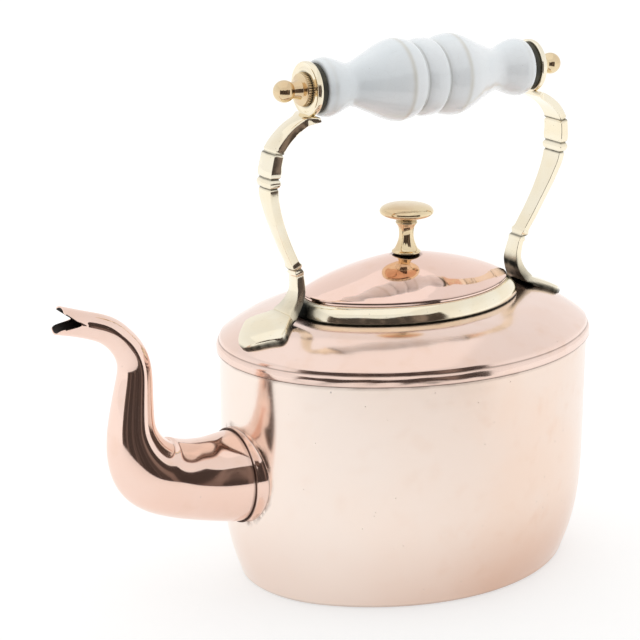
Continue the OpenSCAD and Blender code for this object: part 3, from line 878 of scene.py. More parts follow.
    def shoulder_grime(self, p: Point) -> float:
        """Dark joints along the ring and at the seam's lip, painted shade in the bead's crease, and grime
        with the straps' painted shadow round their knees.
        """
        offset = RIM.offset_of(p[0], p[1])
        ring = 0.95 * bell(offset + self.ring_inset - 0.2, 0.55)
        # Painted shade in the crease above the bead.
        crease = 0.5 * bell(p[2] - 131.0, 0.3) if offset > -0.8 else 0.0
        lip = 1.3 * bell(p[2] - 125.25, 0.5) if offset > -0.6 else 0.0
        # Grime and the straps' painted shadow round their knees.
        knee = 1.1 * bell(math.hypot(abs(p[0]) - 69.0, p[1] * 0.6), 6.0) * smoothstep(-30.0, -36.0, offset)
        return min(1.0, ring + crease + lip + knee)

    def ring(self) -> bpy.types.Object:
        """The cast ring with its rounded face, its fine line and the neck under the shoulder."""
        inset, seat = self.ring_inset, self.seat_z
        face = smooth_curve([
            (-inset, seat), (-inset + 0.05, seat + 1.2), (-inset - 0.35, seat + 3.2),
            (-inset - 1.35, seat + 5.4), (-inset - 2.75, seat + 7.1), (-inset - 3.9, seat + 7.95),
            (-inset - 4.15, seat + 8.02), (-inset - 4.35, seat + 8.22), (-inset - 5.6, seat + 8.5),
            (-inset - 6.5, seat + 8.5), (-inset - 7.15, seat + 8.2), (-inset - 7.4, seat + 7.6)], 5)
        neck = [(-inset - 7.4, seat - self.ring_drop), (-inset - 6.0, seat - self.ring_drop),
                (-inset - 6.0, seat)]
        return Piece("mouth_ring", Body.KETTLE, "brass_ring", ("lid_ring",)).skinned(
            RIM.swept(face + neck), {"grime": self.ring_grime}, self.finishes.brass_cast)

    def ring_grime(self, p: Point) -> float:
        """Dirt at the ring's foot, beside the lid and at the knees."""
        foot = smoothstep(self.seat_z + 1.5, self.seat_z + 0.3, p[2])
        knee = 1.2 * bell(math.hypot((abs(p[0]) - 67.0) * 0.9, p[1] * 0.5), 5.8)
        inner = 0.8 * smoothstep(self.seat_z + 8.3, self.seat_z + 7.9, p[2]) * smoothstep(
            -45.9, -46.5, RIM.offset_of(p[0], p[1]))
        return min(1.0, foot + knee + inner)

    def build(self) -> None:
        """Builds the vessel."""
        self.wall()
        self.shoulder()
        self.ring()


@dataclass
class Spout:
    """The swan neck with its beak, and the collar where it meets the wall."""

    finishes: Finishes
    vessel: Vessel
    root_r: float = 24.4
    lip_x: float = -107.0
    straight_rings: int = 6
    beak_rings: int = 10
    beak_flare: float = 0.25
    beak_wall: float = 0.75
    collar_sides: int = 128
    wall: float = 1.2
    sides: int = 88
    row_gap: float = 1.7
    notch: float = 10.4
    stations: tuple[tuple[float, float, float], ...] = (
        (8, 0.4, 23.6), (19.5, 1.5, 21.8), (33, 4.3, 20.7), (45.5, 9.0, 20.1), (51.8, 13.9, 18.9),
        (56.5, 21.8, 16.4), (59, 30.2, 13.9), (59.7, 38, 12.2), (58.8, 50, 10.8), (57.2, 65.7, 9.0),
        (58.1, 72.8, 8.3), (60.7, 78.8, 7.9), (65.3, 84.6, 7.4), (70.8, 89.5, 7.3), (77.2, 92.6, 7.0),
        (89.5, 96.6, 6.8), (98.5, 99.2, 7.0))

    def line(self) -> list[tuple[float, ...]]:
        """Middle line with radius, from inside the wall to the beak."""
        root = [(out, up, self.root_r) for out, up in ((-11.0, 0.0), (-6.0, 0.0), (0.0, 0.0), (2.0, 0.05))]
        return relaxed(evenly(smooth_curve(root + list(self.stations), 12), self.row_gap), 5)

    def ring_at(self, row: Sequence[float], heading: float, inset: float, back: Callable[[float], float],
                ) -> list[Point]:
        """One ring of the tube.

        Args:
            row: Distance out, height over the root and radius.
            heading: The line's direction there.
            inset: How far inside the outer skin the ring lies.
            back: How far the ring steps back along the line, by height across the tube.

        Returns:
            The ring's points.
        """
        points = []
        radius = row[2] - inset
        for a in round_angles(self.sides):
            across, side = radius * math.cos(a), radius * math.sin(a)
            reach = -back(row[2] * math.cos(a))
            out = row[0] + reach * math.cos(heading) - across * math.sin(heading)
            up = row[1] + reach * math.sin(heading) + across * math.cos(heading)
            points.append((-RIM.half_l - out, side, self.vessel.spout_z + up))
        return points

    def cut_back(self, across: float) -> float:
        """How far the notch in the side of the beak goes back at a height across the tube."""
        if across < 0.8:
            return self.notch * smoothstep(-5.6, 1.6, across) * 1.05
        return self.notch * max(0.0, (5.2 - across) / 4.4)

    def tube(self) -> bpy.types.Object:
        """The tube with its wall, open at the root and cut to a beak."""
        line = self.line()
        last = len(line) - 1
        outer, inner = [], []
        for i, row in enumerate(line):
            a, b = line[max(i - 1, 0)], line[min(i + 1, last)]
            heading = 0.0 if i < self.straight_rings else math.atan2(b[1] - a[1], b[0] - a[0])
            share = smoothstep(last - self.beak_rings, last, i)
            open_row = (row[0], row[1], row[2] + self.beak_flare * share)
            back = (lambda h, s=share: self.cut_back(h) * s)
            outer.append(self.ring_at(open_row, heading, 0.0, back))
            inner.append(self.ring_at(open_row, heading, mix(self.wall, self.beak_wall, share), back))
        lined = range(last + 1, 2 * last + 1)
        skin = Skin().rings(outer + inner[::-1], Ends.LOOP, lined)
        # The inner faces take the near-black lining, which is painted shade inside the spout.
        return Piece("swan_spout", Body.KETTLE, "copper_spout", ("spout",)).skinned(
            skin, {"grime": self.tube_grime}, self.finishes.copper_spout, self.finishes.soot)

    def tube_grime(self, p: Point) -> float:
        """Tarnish at the collar's lip."""
        return 0.95 * bell(p[0] - self.lip_x + 0.3, 0.55)

    def wall_x(self, y: float, z: float) -> float:
        """The X of the wall's outer face at the spout's end."""
        r = RIM.end_r + self.vessel.wall_offset(z)
        return -RIM.end_c - math.sqrt(r * r - y * y)

    def collar(self) -> bpy.types.Object:
        """The flared collar, from a lip on the spout to an edge that lies on the wall."""
        bore = self.root_r + 0.05
        profile = smooth_curve([(0.0, 0.05), (0.0, 0.70), (0.10, 0.92), (0.35, 0.86), (0.6, 0.82),
                                (0.82, 0.88), (0.94, 1.02), (1.0, 1.25)], 5)
        rows = [self.collar_ring(bore + proud, share, 0.0) for share, proud in profile]
        rows += [self.collar_ring(bore + proud, 1.0, 0.3) for proud in (1.2, 0.0)]
        return Piece("spout_collar_ring", Body.KETTLE, "copper_spout", ("spout_collar",)).skinned(
            Skin().rings(rows, Ends.LOOP), {"grime": self.collar_grime}, self.finishes.copper_spout)

    def collar_ring(self, radius: float, share: float, lift: float) -> list[Point]:
        """One ring of the collar, a share of the way from its lip to a face lifted off the wall."""
        points = []
        for a in round_angles(self.collar_sides):
            y, z = radius * math.cos(a), self.vessel.spout_z + radius * math.sin(a)
            points.append((mix(self.lip_x, self.wall_x(y, z) - 0.15 + lift, share), y, z))
        return points

    def collar_grime(self, p: Point) -> float:
        """A dark line at the lip and at the wall."""
        wall = bell(p[0] - self.wall_x(p[1], p[2]), 0.4)
        return min(1.0, 0.5 * wall + 0.9 * bell(p[0] - self.lip_x, 0.3))

    def build(self) -> None:
        """Builds the spout."""
        self.tube()
        self.collar()


@dataclass
class Strap:
    """One cast brass bracket: fan foot, strap and eye in one piece."""

    finishes: Finishes
    vessel: Vessel
    side: Side
    lean_low: float = 146.3
    lean_high: float = 245.2
    eye_r: float = 14.3
    pole_r: float = 3.0
    row_gap: float = 0.5
    foot_swing: float = 2.6
    # Rows of the casting's middle line from tip to eye:
    # half-span, height, half-width, half-thickness, draft, how far it follows the shoulder.
    rows: tuple[tuple[float, ...], ...] = (
        (102.3, 135.9, 1.4, 0.6, 0.4, 1.0), (101.8, 136.5, 4.2, 1.20, 0.9, 1.0),
        (99.8, 138.5, 8.2, 1.70, 1.3, 1.0), (97.0, 140.6, 11.6, 1.85, 1.3, 1.0),
        (93.6, 142.5, 15.2, 1.90, 1.3, 1.0), (90.6, 143.9, 18.4, 1.90, 1.3, 1.0),
        (88.2, 144.9, 18.9, 1.90, 1.3, 1.0), (85.4, 145.9, 17.2, 1.95, 1.3, 1.0),
        (82.0, 146.9, 14.4, 2.00, 1.3, 1.0), (78.8, 147.9, 11.8, 2.00, 1.2, 1.0),
        (76.5, 149.0, 10.0, 1.95, 1.1, 0.8), (75.7, 149.9, 9.4, 2.55, 1.1, 0.6),
        (73.4, 152.6, 7.9, 2.45, 1.1, 0.25), (71.0, 156.6, 6.7, 2.30, 1.0, 0.0),
        (69.6, 161.0, 5.9, 2.15, 0.9, 0.0), (69.9, 166.0, 5.2, 2.10, 0.8, 0.0),
        (71.4, 172.0, 4.8, 2.05, 0.8, 0.0), (74.5, 178.0, 4.9, 2.05, 0.8, 0.0),
        (77.9, 184.0, 5.0, 2.10, 0.8, 0.0), (81.0, 190.0, 5.1, 2.10, 0.8, 0.0),
        (83.9, 196.0, 5.4, 2.10, 0.8, 0.0), (86.6, 202.0, 5.9, 2.15, 0.8, 0.0),
        (88.8, 208.0, 6.4, 2.15, 0.8, 0.0), (90.6, 214.0, 7.0, 2.20, 0.8, 0.0),
        (91.3, 220.0, 7.3, 2.25, 0.9, 0.0), (91.3, 226.0, 7.4, 2.25, 0.9, 0.0),
        (90.8, 232.0, 7.5, 2.25, 0.9, 0.0), (89.4, 237.8, 7.4, 2.25, 0.9, 0.0),
        (85.3, 243.5, 7.2, 2.25, 0.9, 0.0), (80.0, 248.0, 6.9, 2.20, 0.9, 0.0),
        (74.8, 251.0, 7.2, 2.00, 0.9, 0.0), (72.4, 252.1, 9.6, 1.70, 0.9, 0.0),
        (70.4, 252.7, 11.6, 1.35, 0.8, 0.0), (68.9, 252.9, 12.2, 1.10, 0.8, 0.0))

    def shift(self, z: float) -> float:
        """How far the casting has leant back at a height."""
        return GRIP_BACK * min(max((z - self.lean_low) / (self.lean_high - self.lean_low), 0.0), 1.0)

    def moulded(self, z: float, seat: float) -> float:
        """Extra size of the section: the collar over the knee and the beads and nicks at the bow."""
        if seat > 0:
            return 0.0
        beads = 0.55 * bell(z - 171.6, 0.9) + 0.75 * bell(z - 175.2, 1.1) - 0.35 * bell(z - 173.4, 0.6)
        bow = 0.5 * smoothstep(218.6, 219.6, z) * smoothstep(238.5, 236.5, z)
        nicks = 0.75 * bell(z - 218.4, 0.55) + 0.95 * bell(z - 223.6, 0.55) + 1.0 * bell(z - 236.4, 0.6)
        leaf = 0.55 * bell(z - 221.2, 1.0) + 0.35 * bell(z - 227.0, 2.2)
        return beads + bow + leaf - nicks

    def section(self, w: float, t: float, edge: float, arris: float) -> list[Pair]:
        """Outline of a section: a bar with drafted sides and a raised middle line.

        Args:
            w: Half of its width.
            t: Half of its thickness.
            edge: How far the draft of the sides reaches in.
            arris: How far the face rises to its middle line, as a share of the half-thickness.

        Returns:
            Points of width and thickness, once round.
        """
        b = min(edge, 0.3 * w)
        side = ((1.75, 1.0), (1.25, 0.95), (0.9, 0.78), (0.68, 0.5), (0.45, 0.1), (0.22, -0.35),
                (0.04, -0.75), (0.0, -0.9), (0.15, -1.0))
        half = [(0.0, (1.0 + arris) * t), (0.45 * (w - 1.75 * b), (1.0 + 0.5 * arris) * t)]
        half += [(w - b * inward, t * level) for inward, level in side]
        half += [(0.5 * w, -t), (0.0, -t)]
        return half + [(-y, n) for y, n in reversed(half[1:-1])]

    def bar(self) -> Skin:
        """The foot and the strap as one sweep of sections."""
        line = evenly(smooth_curve(self.rows, 10), self.row_gap)
        rings = []
        for i, (span, z, w, t, edge, seat) in enumerate(line):
            a, b = line[max(i - 1, 0)], line[min(i + 1, len(line) - 1)]
            along = Vector((b[0] - a[0], 0.0, b[1] - a[1])).normalized()
            out = Vector((along.z, 0.0, -along.x))
            extra = self.moulded(z, seat)
            ring = []
            swing = self.side.value * self.foot_swing * smoothstep(75.0, 88.0, span) * seat
            for y, n in self.section(w + extra, t + 0.6 * extra, edge, mix(0.26, 0.05, seat)):
                y += swing
                p = Vector((span, y, z)) + out * n
                if seat > 0:
                    level = self.vessel.shoulder_z(RIM.offset_of(p.x, 0.0))
                    p.z += seat * (self.vessel.shoulder_z(RIM.offset_of(p.x, y)) - level)
                ring.append((self.side.value * p.x + self.shift(p.z), p.y, p.z))
            rings.append(ring)
        return Skin().rings(rings, Ends.POLES)

    def eye(self) -> Skin:
        """The eye: a thin disc with a soft rim and a seat for the nut."""
        edge = smooth_curve([(EYE_X - depth, self.eye_r - inward) for depth, inward in (
            (EYE_T, 0.7), (EYE_T - 0.15, 0.2), (0.7 * EYE_T, 0.0), (0.25 * EYE_T, 0.05), (0.08, 0.45),
            (0.12, 1.1), (0.35, 1.7), (0.3, 2.6), (0.05, 4.2), (0.03, 6.5))], 4)
        profile = [(EYE_X - EYE_T, self.pole_r)] + edge + [(EYE_X - 0.03, self.pole_r)]
        return turned(profile, (GRIP_BACK, 0.0, GRIP_Z), self.side, ROUND, Ends.POLES)

    def grime(self, p: Point) -> float:
        """Grime at the knee, in the nicks and in the eye's groove, darker low on the inner side, and painted
        shade along the foot's lower edge.
        """
        span = abs(p[0] - self.shift(p[2]))
        offset = RIM.offset_of(p[0], p[1])
        knee = 1.2 * bell(math.hypot(span - 67.2, p[2] - 149.0) / 7.0, 1.0)
        inner = 0.9 * smoothstep(166.0, 156.0, p[2]) * smoothstep(69.5, 67.6, span)
        # Painted shade along the foot's lower edge, where it meets the shoulder.
        rim = 0.0
        if p[2] < 150.0 and abs(p[0]) > 74:
            rim = 0.8 * smoothstep(2.9, 1.6, p[2] - self.vessel.shoulder_z(offset))
        nick = 0.0
        if span > 60:
            nick = 0.8 * sum(bell(p[2] - z, 0.45) for z in (173.4, 218.4, 223.6, 236.4))
        radius = math.hypot(p[1], p[2] - GRIP_Z)
        eye = 0.55 * bell(radius - 8.9, 0.7) if p[2] > 252 else 0.0
        return min(1.0, knee + inner + rim + nick + eye)

    def build(self) -> None:
        """Casts the bracket and its eye in one mesh."""
        made = as_object("strap", self.bar().mesh("strap"))
        combined(made, as_object("eye", self.eye().mesh("eye")), "UNION")
        mark_points(made.data, {"grime": self.grime})
        Piece(f"{self.side.word}_strap", Body.KETTLE, "brass_handle", (f"{self.side.word}_bracket",)).enter(
            made, self.finishes.brass_cast)


@dataclass
class Handle:
    """The straps and everything on the rod between them: washers, grip and ball nuts."""

    finishes: Finishes
    vessel: Vessel
    centre: Point = (GRIP_BACK, 0.0, GRIP_Z)
    washer_t: float = 3.4
    play: float = 0.3
    bore: float = 2.58
    ball_r: float = 5.8
    ball_reach: float = 12.1
    neck_r: float = 4.2
    flange_r: float = 8.6
    flange_t: float = 2.8
    ribs: int = 44
    rib_sides: int = 8
    rib_slant: float = 14.0
    nut_sides: int = 80
    grip_sides: int = 144
    washer_r: float = 13.1

    @property
    def grip_half(self) -> float:
        """Half of the grip's length."""
        return EYE_X - EYE_T - self.washer_t - self.play

    def grip(self) -> bpy.types.Object:
        """The turned porcelain sleeve."""
        half = self.grip_half
        knots = [(0.0, 20.6), (2.6, 20.45), (4.6, 19.9), (6.0, 18.8), (6.7, 18.4), (7.6, 18.8), (9.4, 20.2),
                 (12.0, 21.1), (15.0, 21.6), (17.5, 21.8), (20.5, 21.3), (24.0, 20.2), (28.0, 18.5),
                 (32.0, 16.5), (36.0, 14.7), (42.0, 12.1), (46.5, 11.4), (50.5, 12.6), (55.0, 14.4),
                 (59.0, 15.4), (62.0, 15.2), (63.8, 14.6), (half - 0.15, 13.6), (half, 12.6)]
        curve = smooth_curve(knots, 5)
        end = [(half, 8.0), (half, self.bore)]
        right = curve[1:] + end
        profile = [(-x, r) for x, r in reversed(right)] + curve[:1] + right
        skin = turned(profile, self.centre, Side.REAR, self.grip_sides, Ends.LOOP)
        return Piece("grip_sleeve", Body.GRIP, "grip_porcelain", ("grip",)).skinned(
            skin, {"grime": self.grip_grime, "amber": self.grip_amber}, self.finishes.porcelain)

    def grip_grime(self, p: Point) -> float:
        """Painted shade: dark lines in the two grooves and at the ends."""
        x = abs(p[0] - self.centre[0])
        return min(1.0, 0.55 * bell(x - 6.7, 0.5) + 0.6 * smoothstep(self.grip_half - 0.8, self.grip_half, x))

    def grip_amber(self, p: Point) -> float:
        """Amber staining on the crests and near the ends."""
        x = abs(p[0] - self.centre[0])
        return min(1.0, 0.8 * bell(x - 17.6, 1.3) + 0.25 * bell(x - 61.0, 1.2) + 0.25 * bell(x - 7.0, 1.2))

    def washer(self, side: Side) -> bpy.types.Object:
        """The washer between the eye and the grip, near-black: partly its own dark colour, partly painted
        shade of the gap.
        """
        outer, r = EYE_X - EYE_T, self.washer_r
        inner = outer - self.washer_t
        profile = smooth_curve([(inner, 2.7), (inner, 9.0), (inner, r - 0.6), (inner + 0.35, r - 0.08),
                                (inner + 1.3, r), (outer - 0.5, r - 0.06), (outer, r - 0.4)], 3)
        skin = turned(profile + [(outer, 2.7)], self.centre, side, ROUND, Ends.LOOP)
        return Piece(f"{side.word}_end_washer", Body.KETTLE, "black_washer",
                     (f"{side.word}_grip_washer",)).skinned(skin, {}, self.finishes.black)

    def nut(self, side: Side) -> bpy.types.Object:
        """The turned nut: milled flange, bell, neck and ball."""
        ball = EYE_X + self.ball_reach
        start = math.asin(self.neck_r / self.ball_r)
        steps = 22
        arc = [(ball - self.ball_r * math.cos(a), self.ball_r * math.sin(a))
               for a in (mix(start, math.pi - 0.03, i / steps) for i in range(steps + 1))]
        r, end = self.flange_r - 0.2, EYE_X + self.flange_t
        bell_line = smooth_curve([
            (EYE_X, r - 0.4), (EYE_X + 0.2, r), (end - 0.2, r), (end + 0.05, r - 0.35), (end + 0.35, r - 1.1),
            (end + 0.75, r - 2.3), (end + 1.3, r - 3.3), (arc[0][0] - 0.6, self.neck_r + 0.1), arc[0]], 5)
        skin = turned([(EYE_X, 4.0)] + bell_line + arc[1:], self.centre, side, self.nut_sides, Ends.POLES)
        return Piece(f"{side.word}_nut", Body.KETTLE, "brass_turned", (f"{side.word}_ball_nut",)).skinned(
            skin, {"grime": self.nut_grime}, self.finishes.brass_turned)

    def nut_grime(self, p: Point) -> float:
        """Grime where the flange meets the eye."""
        x = abs(p[0] - self.centre[0])
        radius = math.hypot(p[1], p[2] - self.centre[2])
        milled = 0.75 * smoothstep(self.flange_r - 0.05, self.flange_r - 0.3, radius)
        milled *= smoothstep(EYE_X + self.flange_t, EYE_X + self.flange_t - 0.4, x)
        return min(1.0, 0.9 * smoothstep(EYE_X + 0.5, EYE_X, x) + milled)

    def milling(self, side: Side) -> bpy.types.Object:
        """The ribs milled into the flange's edge, laid out by nodes."""
        half = self.flange_t / 2
        shape = [(-half, 0.12), (-half + 0.2, 0.30), (0.0, 0.36), (half - 0.2, 0.30), (half, 0.12)]
        rib = turned(shape, (0.0, 0.0, 0.0), Side.REAR, self.rib_sides, Ends.POLES)
        pattern = as_object("rib", rib.mesh("rib"))
        layout = RoundLayout("flange_ribs", self.finishes.brass_turned)
        centre = (GRIP_BACK + side.value * (EYE_X + half + 0.05), 0.0, GRIP_Z)
        made = layout.place(pattern, centre, self.flange_r - 0.22, self.ribs, self.rib_slant)
        mark_points(made.data, {"grime": self.nut_grime})
        return Piece(f"{side.word}_nut_milling", Body.KETTLE, "brass_turned").enter(
            made, self.finishes.brass_turned)

    def build(self) -> None:
        """Builds both straps and the grip between them."""
        for side in Side:
            Strap(self.finishes, self.vessel, side).build()
            self.washer(side)
            self.nut(side)
            self.milling(side)
        self.grip()


class RoundLayout:
    """A node tree that sets copies of a small solid round a circle about X."""

    def __init__(self, name: str, material: bpy.types.Material) -> None:
        """Builds the tree.

        Args:
            name: The tree's name.
            material: The material of the copies.
        """
        tree = bpy.data.node_groups.new(name, "GeometryNodeTree")
        kinds = {"Solid": "Object", "Count": "Int", "Radius": "Float", "Slant": "Float", "Centre": "Vector"}
        self.sockets = {name: tree.interface.new_socket(
            name, in_out="INPUT", socket_type=f"NodeSocket{kind}").identifier for name, kind in kinds.items()}
        tree.interface.new_socket("Geometry", in_out="OUTPUT", socket_type="NodeSocketGeometry")
        given, result, circle, info, index, moved, copies, carried, real, dressed, spin = (
            tree.nodes.new(kind) for kind in (
                "NodeGroupInput", "NodeGroupOutput", "GeometryNodeMeshCircle", "GeometryNodeObjectInfo",
                "GeometryNodeInputIndex", "GeometryNodeSetPosition", "GeometryNodeInstanceOnPoints",
                "GeometryNodeTransform", "GeometryNodeRealizeInstances", "GeometryNodeSetMaterial",
                "FunctionNodeRotateEuler"))
        slanted, about, spot = (tree.nodes.new("ShaderNodeCombineXYZ") for _ in range(3))
        step = self._maths(tree, "DIVIDE", FULL_TURN, given.outputs["Count"])
        turn = self._maths(tree, "MULTIPLY", index.outputs[0], step)
        across, up = (self._maths(tree, "MULTIPLY", self._maths(tree, kind, turn), given.outputs["Radius"])
                      for kind in ("COSINE", "SINE"))
        for source, target, socket in (
                (given.outputs["Slant"], slanted, "Z"), (turn, about, "X"),
                (slanted.outputs[0], spin, "Rotation"), (about.outputs[0], spin, "Rotate By"),
                (across, spot, "Y"), (up, spot, "Z"),
                (given.outputs["Count"], circle, "Vertices"), (given.outputs["Solid"], info, "Object"),
                (circle.outputs[0], moved, "Geometry"), (spot.outputs[0], moved, "Position"),
                (moved.outputs[0], copies, "Points"), (info.outputs["Geometry"], copies, "Instance"),
                (spin.outputs[0], copies, "Rotation"), (copies.outputs[0], carried, "Geometry"),
                (given.outputs["Centre"], carried, "Translation"), (carried.outputs[0], real, 0),
                (real.outputs[0], dressed, "Geometry"), (dressed.outputs[0], result, 0)):
            tree.links.new(source, target.inputs[socket])
        dressed.inputs["Material"].default_value = material
        self.tree = tree

    @staticmethod
    def _maths(tree: bpy.types.NodeTree, operation: str, *values: object) -> bpy.types.NodeSocket:
        """Adds a Math node to a tree and returns its output."""
        made = tree.nodes.new("ShaderNodeMath")
        made.operation = operation
        for socket, value in zip(made.inputs, values):
            if isinstance(value, bpy.types.NodeSocket):
                tree.links.new(value, socket)
            else:
                socket.default_value = value
        return made.outputs[0]

    def place(self, solid: bpy.types.Object, centre: Point, radius: float, count: int, slant: float,
              ) -> bpy.types.Object:
        """Sets copies round a circle and turns them into one mesh.

        Args:
            solid: The solid that is copied, modelled at the origin; it is used up.
            centre: The circle's middle in millimetres.
            radius: The circle's radius in millimetres.
            count: The number of copies.
            slant: How far each copy leans from the circle's axis, in degrees.

        Returns:
            The object with the finished mesh.
        """
        made = as_object(self.tree.name, bpy.data.meshes.new(self.tree.name))
        layout = made.modifiers.new("layout", "NODES")
        layout.node_group = self.tree
        values = {"Solid": solid, "Count": count, "Radius": radius * MM, "Slant": math.radians(slant),
                  "Centre": Vector(centre) * MM}
        for name, value in values.items():
            layout[self.sockets[name]] = value
        settled(made)
        bpy.data.objects.remove(solid)
        made.data.shade_smooth()
        return made


@dataclass
class Lid:
    """The domed lid, its skirt and its turned knob."""

    finishes: Finishes
    inset: float = 45.1
    edge_z: float = 155.9
    lid_z: float = 155.0
    top_z: float = 173.0
    rise: float = 15.9
    power: float = 1.8
    sheet: float = 0.9
    skirt_inset: float = 47.3
    skirt_depth: float = 11.0
    rings: int = 44
    # The crown's outline goes towards a circle of this radius by this share.
    crown_r: float = 24.0
    rounding: float = 0.35
    knob_h: float = 27.0
    knob_sides: int = 112

    def dome_ring(self, share: float, drop: float, inset: float) -> list[Point]:
        """A ring of the dome at a share of the way from the middle to the edge."""
        z = self.top_z - drop - self.rise * share ** self.power
        points = []
        for a in RIM.angles():
            x, y = RIM.facing(a, -inset)
            even = self.rounding * (1.0 - smoothstep(0.0, 0.9, share))
            points.append((share * mix(x, self.crown_r * math.cos(a), even),
                           share * mix(y, self.crown_r * math.sin(a), even), z))
        return points

    def dome(self) -> bpy.types.Object:
        """The domed sheet with its turned-down edge."""
        shares = [max(0.004, i / self.rings) for i in range(self.rings + 1)]
        top = [self.dome_ring(s, 0.0, self.inset + 0.35 * smoothstep(0.9, 1.0, s)) for s in shares]
        edge = [[(*RIM.facing(a, -self.inset), z) for a in RIM.angles()]
                for z in (self.edge_z + 0.75, self.edge_z + 0.05)]
        under = [self.dome_ring(s, self.sheet, self.inset + 1.2) for s in reversed(shares)]
        rows = top + edge + [[(*RIM.facing(a, -self.inset - 1.2), self.edge_z) for a in RIM.angles()]] + under
        skin = Skin().rings(rows, Ends.POLES)
        skin.points = [self.beaten(p) for p in skin.points]
        return Piece("lid_shell", Body.LID, "copper_lid", ("lid_dome",)).skinned(
            skin, {"grime": self.dome_grime}, self.finishes.copper_lid)

    def beaten(self, p: Point) -> Point:
        """Gives the dome the faint unevenness of hand work."""
        offset = RIM.offset_of(p[0], p[1])
        share = smoothstep(-46.0, -52.0, offset) * smoothstep(9.0, 16.0, math.hypot(p[0], p[1]))
        return (p[0], p[1], p[2] + 0.22 * share * noise.noise(Vector(p) * 0.05 + Vector((3.0, 7.0, 1.0))))

    def dome_grime(self, p: Point) -> float:
        """Tarnish at the edge and round the knob's foot."""
        foot = 0.8 * bell(math.hypot(p[0], p[1]) - 7.9, 0.5)
        return min(1.0, 0.9 * smoothstep(self.edge_z + 1.0, self.edge_z + 0.1, p[2]) + foot)

    def skirt(self) -> bpy.types.Object:
        """The skirt that drops into the ring."""
        low, t, face = self.lid_z - self.skirt_depth, self.sheet, -self.skirt_inset
        roof = self.lid_z + t - 0.05
        profile = [(-self.inset, self.lid_z), (-self.inset, roof), (face - t, roof), (face - t, low + 0.4),
                   (face - 0.75 * t, low + 0.08), (face - 0.3 * t, low), (face - 0.05, low + 0.3),
                   (face, low + 1.0), (face, self.lid_z - 0.4), (face + 0.4, self.lid_z)]
        return Piece("lid_skirt_band", Body.LID, "copper_lid", ("lid_skirt",)).skinned(
            RIM.swept(profile), {"grime": self.skirt_grime}, self.finishes.copper_lid)

    def skirt_grime(self, p: Point) -> float:
        """Water marks on the skirt's lower edge."""
        return 0.45 * smoothstep(self.lid_z - 7.5, self.lid_z - 10.5, p[2])

    def knob(self) -> bpy.types.Object:
        """The turned knob with its foot, waisted stem and cap."""
        h = self.knob_h
        outline = smooth_curve([
            (7.4, 0.0), (7.75, 0.35), (7.75, 0.9), (7.3, 1.35), (6.6, 1.9), (5.9, 3.0), (5.1, 4.8),
            (4.3, 7.2), (3.95, 9.6), (4.05, 12.0), (4.5, 14.2), (5.3, 15.6), (5.9, 16.6), (5.6, 17.3),
            (6.3, 18.1),
            (9.0, 19.5), (12.4, 20.5), (14.0, 21.5), (14.5, 22.6), (14.2, 23.8), (13.0, 25.0), (10.6, 26.0),
            (7.0, 26.7), (3.4, 26.95), (0.9, h)], 5)
        profile = [(2.0, -6.3), (2.0, -0.05), (7.2, -0.05)] + outline
        skin = upright(profile, self.top_z, self.knob_sides, Ends.POLES)
        return Piece("knob_turning", Body.LID, "brass_turned", ("lid_knob",)).skinned(
            skin, {"grime": self.knob_grime}, self.finishes.brass_turned)

    def knob_grime(self, p: Point) -> float:
        """Grime at the foot and under the cap."""
        z = p[2] - self.top_z
        return min(1.0, 0.9 * smoothstep(0.8, 0.1, z) + 0.35 * bell(z - 17.3, 0.5))

    def build(self) -> None:
        """Builds the lid."""
        self.dome()
        self.skirt()
        self.knob()


@dataclass
class HiddenParts:
    """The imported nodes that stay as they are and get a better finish."""

    finishes: Finishes

    def build(self) -> None:
        """Dresses each node that no piece replaces."""
        coats = ((self.finishes.copper_base, ("base_plate", "front_burrs", "rear_burrs")),
                 (self.finishes.brass_dull, ("front_rivets", "rear_rivets", "grip_rod")),
                 (self.finishes.brass_turned, ("knob_washer", "knob_nut")))
        for coat, nodes in coats:
            for node in nodes:
                for slot in bpy.data.objects[node].material_slots:
                    slot.material = coat
                log.info("%s: dressed", node)


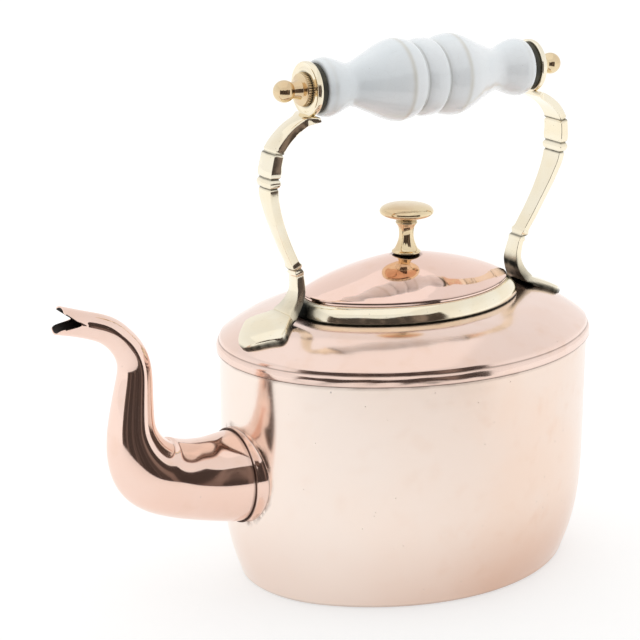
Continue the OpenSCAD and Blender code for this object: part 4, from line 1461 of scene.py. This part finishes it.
@dataclass
class Studio:
    """Pale floor, a soft light, a dark flag for the metal to reflect, and the camera."""

    camera_at: Point = (-0.63443, -0.96848, 0.47021)
    camera_to: Point = (-0.039644, 0.023764, 0.13503)
    lens: float = 125.09
    floor_half: float = 7.0
    zenith: float = 0.90
    flag_centre: Pair = (-0.14, 0.0)
    flag_r: float = 0.60
    # Directions of the flag's edges in degrees from -Y towards +X.
    flag_span: Pair = (-71.0, 38.0)
    flag_steps: int = 40
    flag_low: float = 0.004
    flag_high: float = 0.49
    light_at: Point = (-0.25, 0.15, 1.7)
    light_to: Point = (0.0, 0.0, 0.1)
    light_size: Pair = (2.6, 2.2)
    light_power: float = 2.4

    def aimed(self, name: str, data: bpy.types.ID, at: Point, to: Point) -> bpy.types.Object:
        """Puts a camera or a light into the scene, pointed at a place."""
        made = bpy.data.objects.new(name, data)
        made.location = at
        made.rotation_euler = (Vector(to) - Vector(at)).to_track_quat("-Z", "Y").to_euler()
        bpy.context.scene.collection.objects.link(made)
        return made

    def camera(self) -> None:
        """Sets the camera at the viewing angle."""
        data = bpy.data.cameras.new("camera")
        data.lens, data.sensor_width, data.clip_end = self.lens, 36.0, 50.0
        bpy.context.scene.camera = self.aimed("camera", data, self.camera_at, self.camera_to)

    def floor(self) -> None:
        """Lays the floor."""
        h = self.floor_half
        mesh = bpy.data.meshes.new("floor")
        mesh.from_pydata([(-h, -h, 0), (h, -h, 0), (h, h, 0), (-h, h, 0)], [], [(0, 1, 2, 3)])
        desk = Desk("floor")
        paper = desk.blend(desk.clouds(9.0, 3.0), (0.56, 0.56, 0.555), (0.54, 0.54, 0.535))
        mesh.materials.append(desk.finish(Base_Color=paper, Roughness=0.8, Specular_IOR_Level=0.0,
                                          Emission_Color=(1.0, 1.0, 1.0), Emission_Strength=0.57))
        as_object("floor", mesh)

    def flag(self) -> None:
        """Stands a curved dark flag on the camera's side, seen only in reflections."""
        points, faces = [], []
        for i in range(self.flag_steps + 1):
            a = math.radians(mix(*self.flag_span, i / self.flag_steps))
            x = self.flag_centre[0] + self.flag_r * math.sin(a)
            y = self.flag_centre[1] - self.flag_r * math.cos(a)
            points += [(x, y, self.flag_low), (x, y, self.flag_high + 0.03 * math.sin(9.0 * a))]
            if i:
                faces.append((2 * i - 2, 2 * i, 2 * i + 1, 2 * i - 1))
        mesh = bpy.data.meshes.new("front_flag")
        mesh.from_pydata(points, [], faces)
        mesh.materials.append(self.curtain())
        made = as_object("front_flag", mesh)
        made.visible_camera = made.visible_shadow = False

    def curtain(self) -> bpy.types.Material:
        """Makes the flag's dark cloth, paler in some of its folds."""
        desk = Desk("front_flag")
        folds = desk.clouds(7.0, 5.0, (1.0, 1.0, 0.12))
        broad = desk.clouds(3.0, 2.0, (1.0, 1.0, 0.3))
        tone = desk.blend(folds.step(0.50, 0.66), (0.05, 0.035, 0.03), (0.20, 0.15, 0.13))
        tone = desk.blend(broad.step(0.54, 0.70) * 0.6, tone, (0.34, 0.26, 0.22))
        return desk.finish(Base_Color=tone, Roughness=0.9)

    def light(self) -> None:
        """Hangs the soft box."""
        data = bpy.data.lights.new("top_box", "AREA")
        data.shape, data.size, data.size_y = "RECTANGLE", *self.light_size
        data.energy, data.color = self.light_power, (1.0, 0.995, 0.985)
        self.aimed("top_box", data, self.light_at, self.light_to).visible_camera = False

    def world(self) -> None:
        """Surrounds the set with soft white."""
        world = bpy.data.worlds.new("world")
        world.use_nodes = True
        tree = world.node_tree
        back = tree.nodes["Background"]
        back.inputs["Color"].default_value = (1.0, 1.0, 1.0, 1.0)
        place = tree.nodes.new("ShaderNodeTexCoord")
        axes = tree.nodes.new("ShaderNodeSeparateXYZ")
        rise = tree.nodes.new("ShaderNodeMapRange")
        rise.interpolation_type = "SMOOTHSTEP"
        for name, value in (("From Min", 0.1), ("From Max", 0.75), ("To Min", 1.0), ("To Max", self.zenith)):
            rise.inputs[name].default_value = value
        tree.links.new(place.outputs["Generated"], axes.inputs[0])
        tree.links.new(axes.outputs["Z"], rise.inputs["Value"])
        tree.links.new(rise.outputs[0], back.inputs["Strength"])
        bpy.context.scene.world = world
        bpy.context.scene.view_settings.view_transform = "Standard"

    def build(self) -> None:
        """Sets up the whole studio."""
        self.camera()
        self.world()
        self.floor()
        self.flag()
        self.light()


def main() -> None:
    """Builds the kettle piece by piece and the studio round it."""
    logging.basicConfig(level=logging.INFO, format="%(name)s: %(message)s")
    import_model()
    finishes = Finishes()
    vessel = Vessel(finishes)
    vessel.build()
    Spout(finishes, vessel).build()
    Handle(finishes, vessel).build()
    Lid(finishes).build()
    HiddenParts(finishes).build()
    Studio().build()


if __name__ == "__main__":
    main()
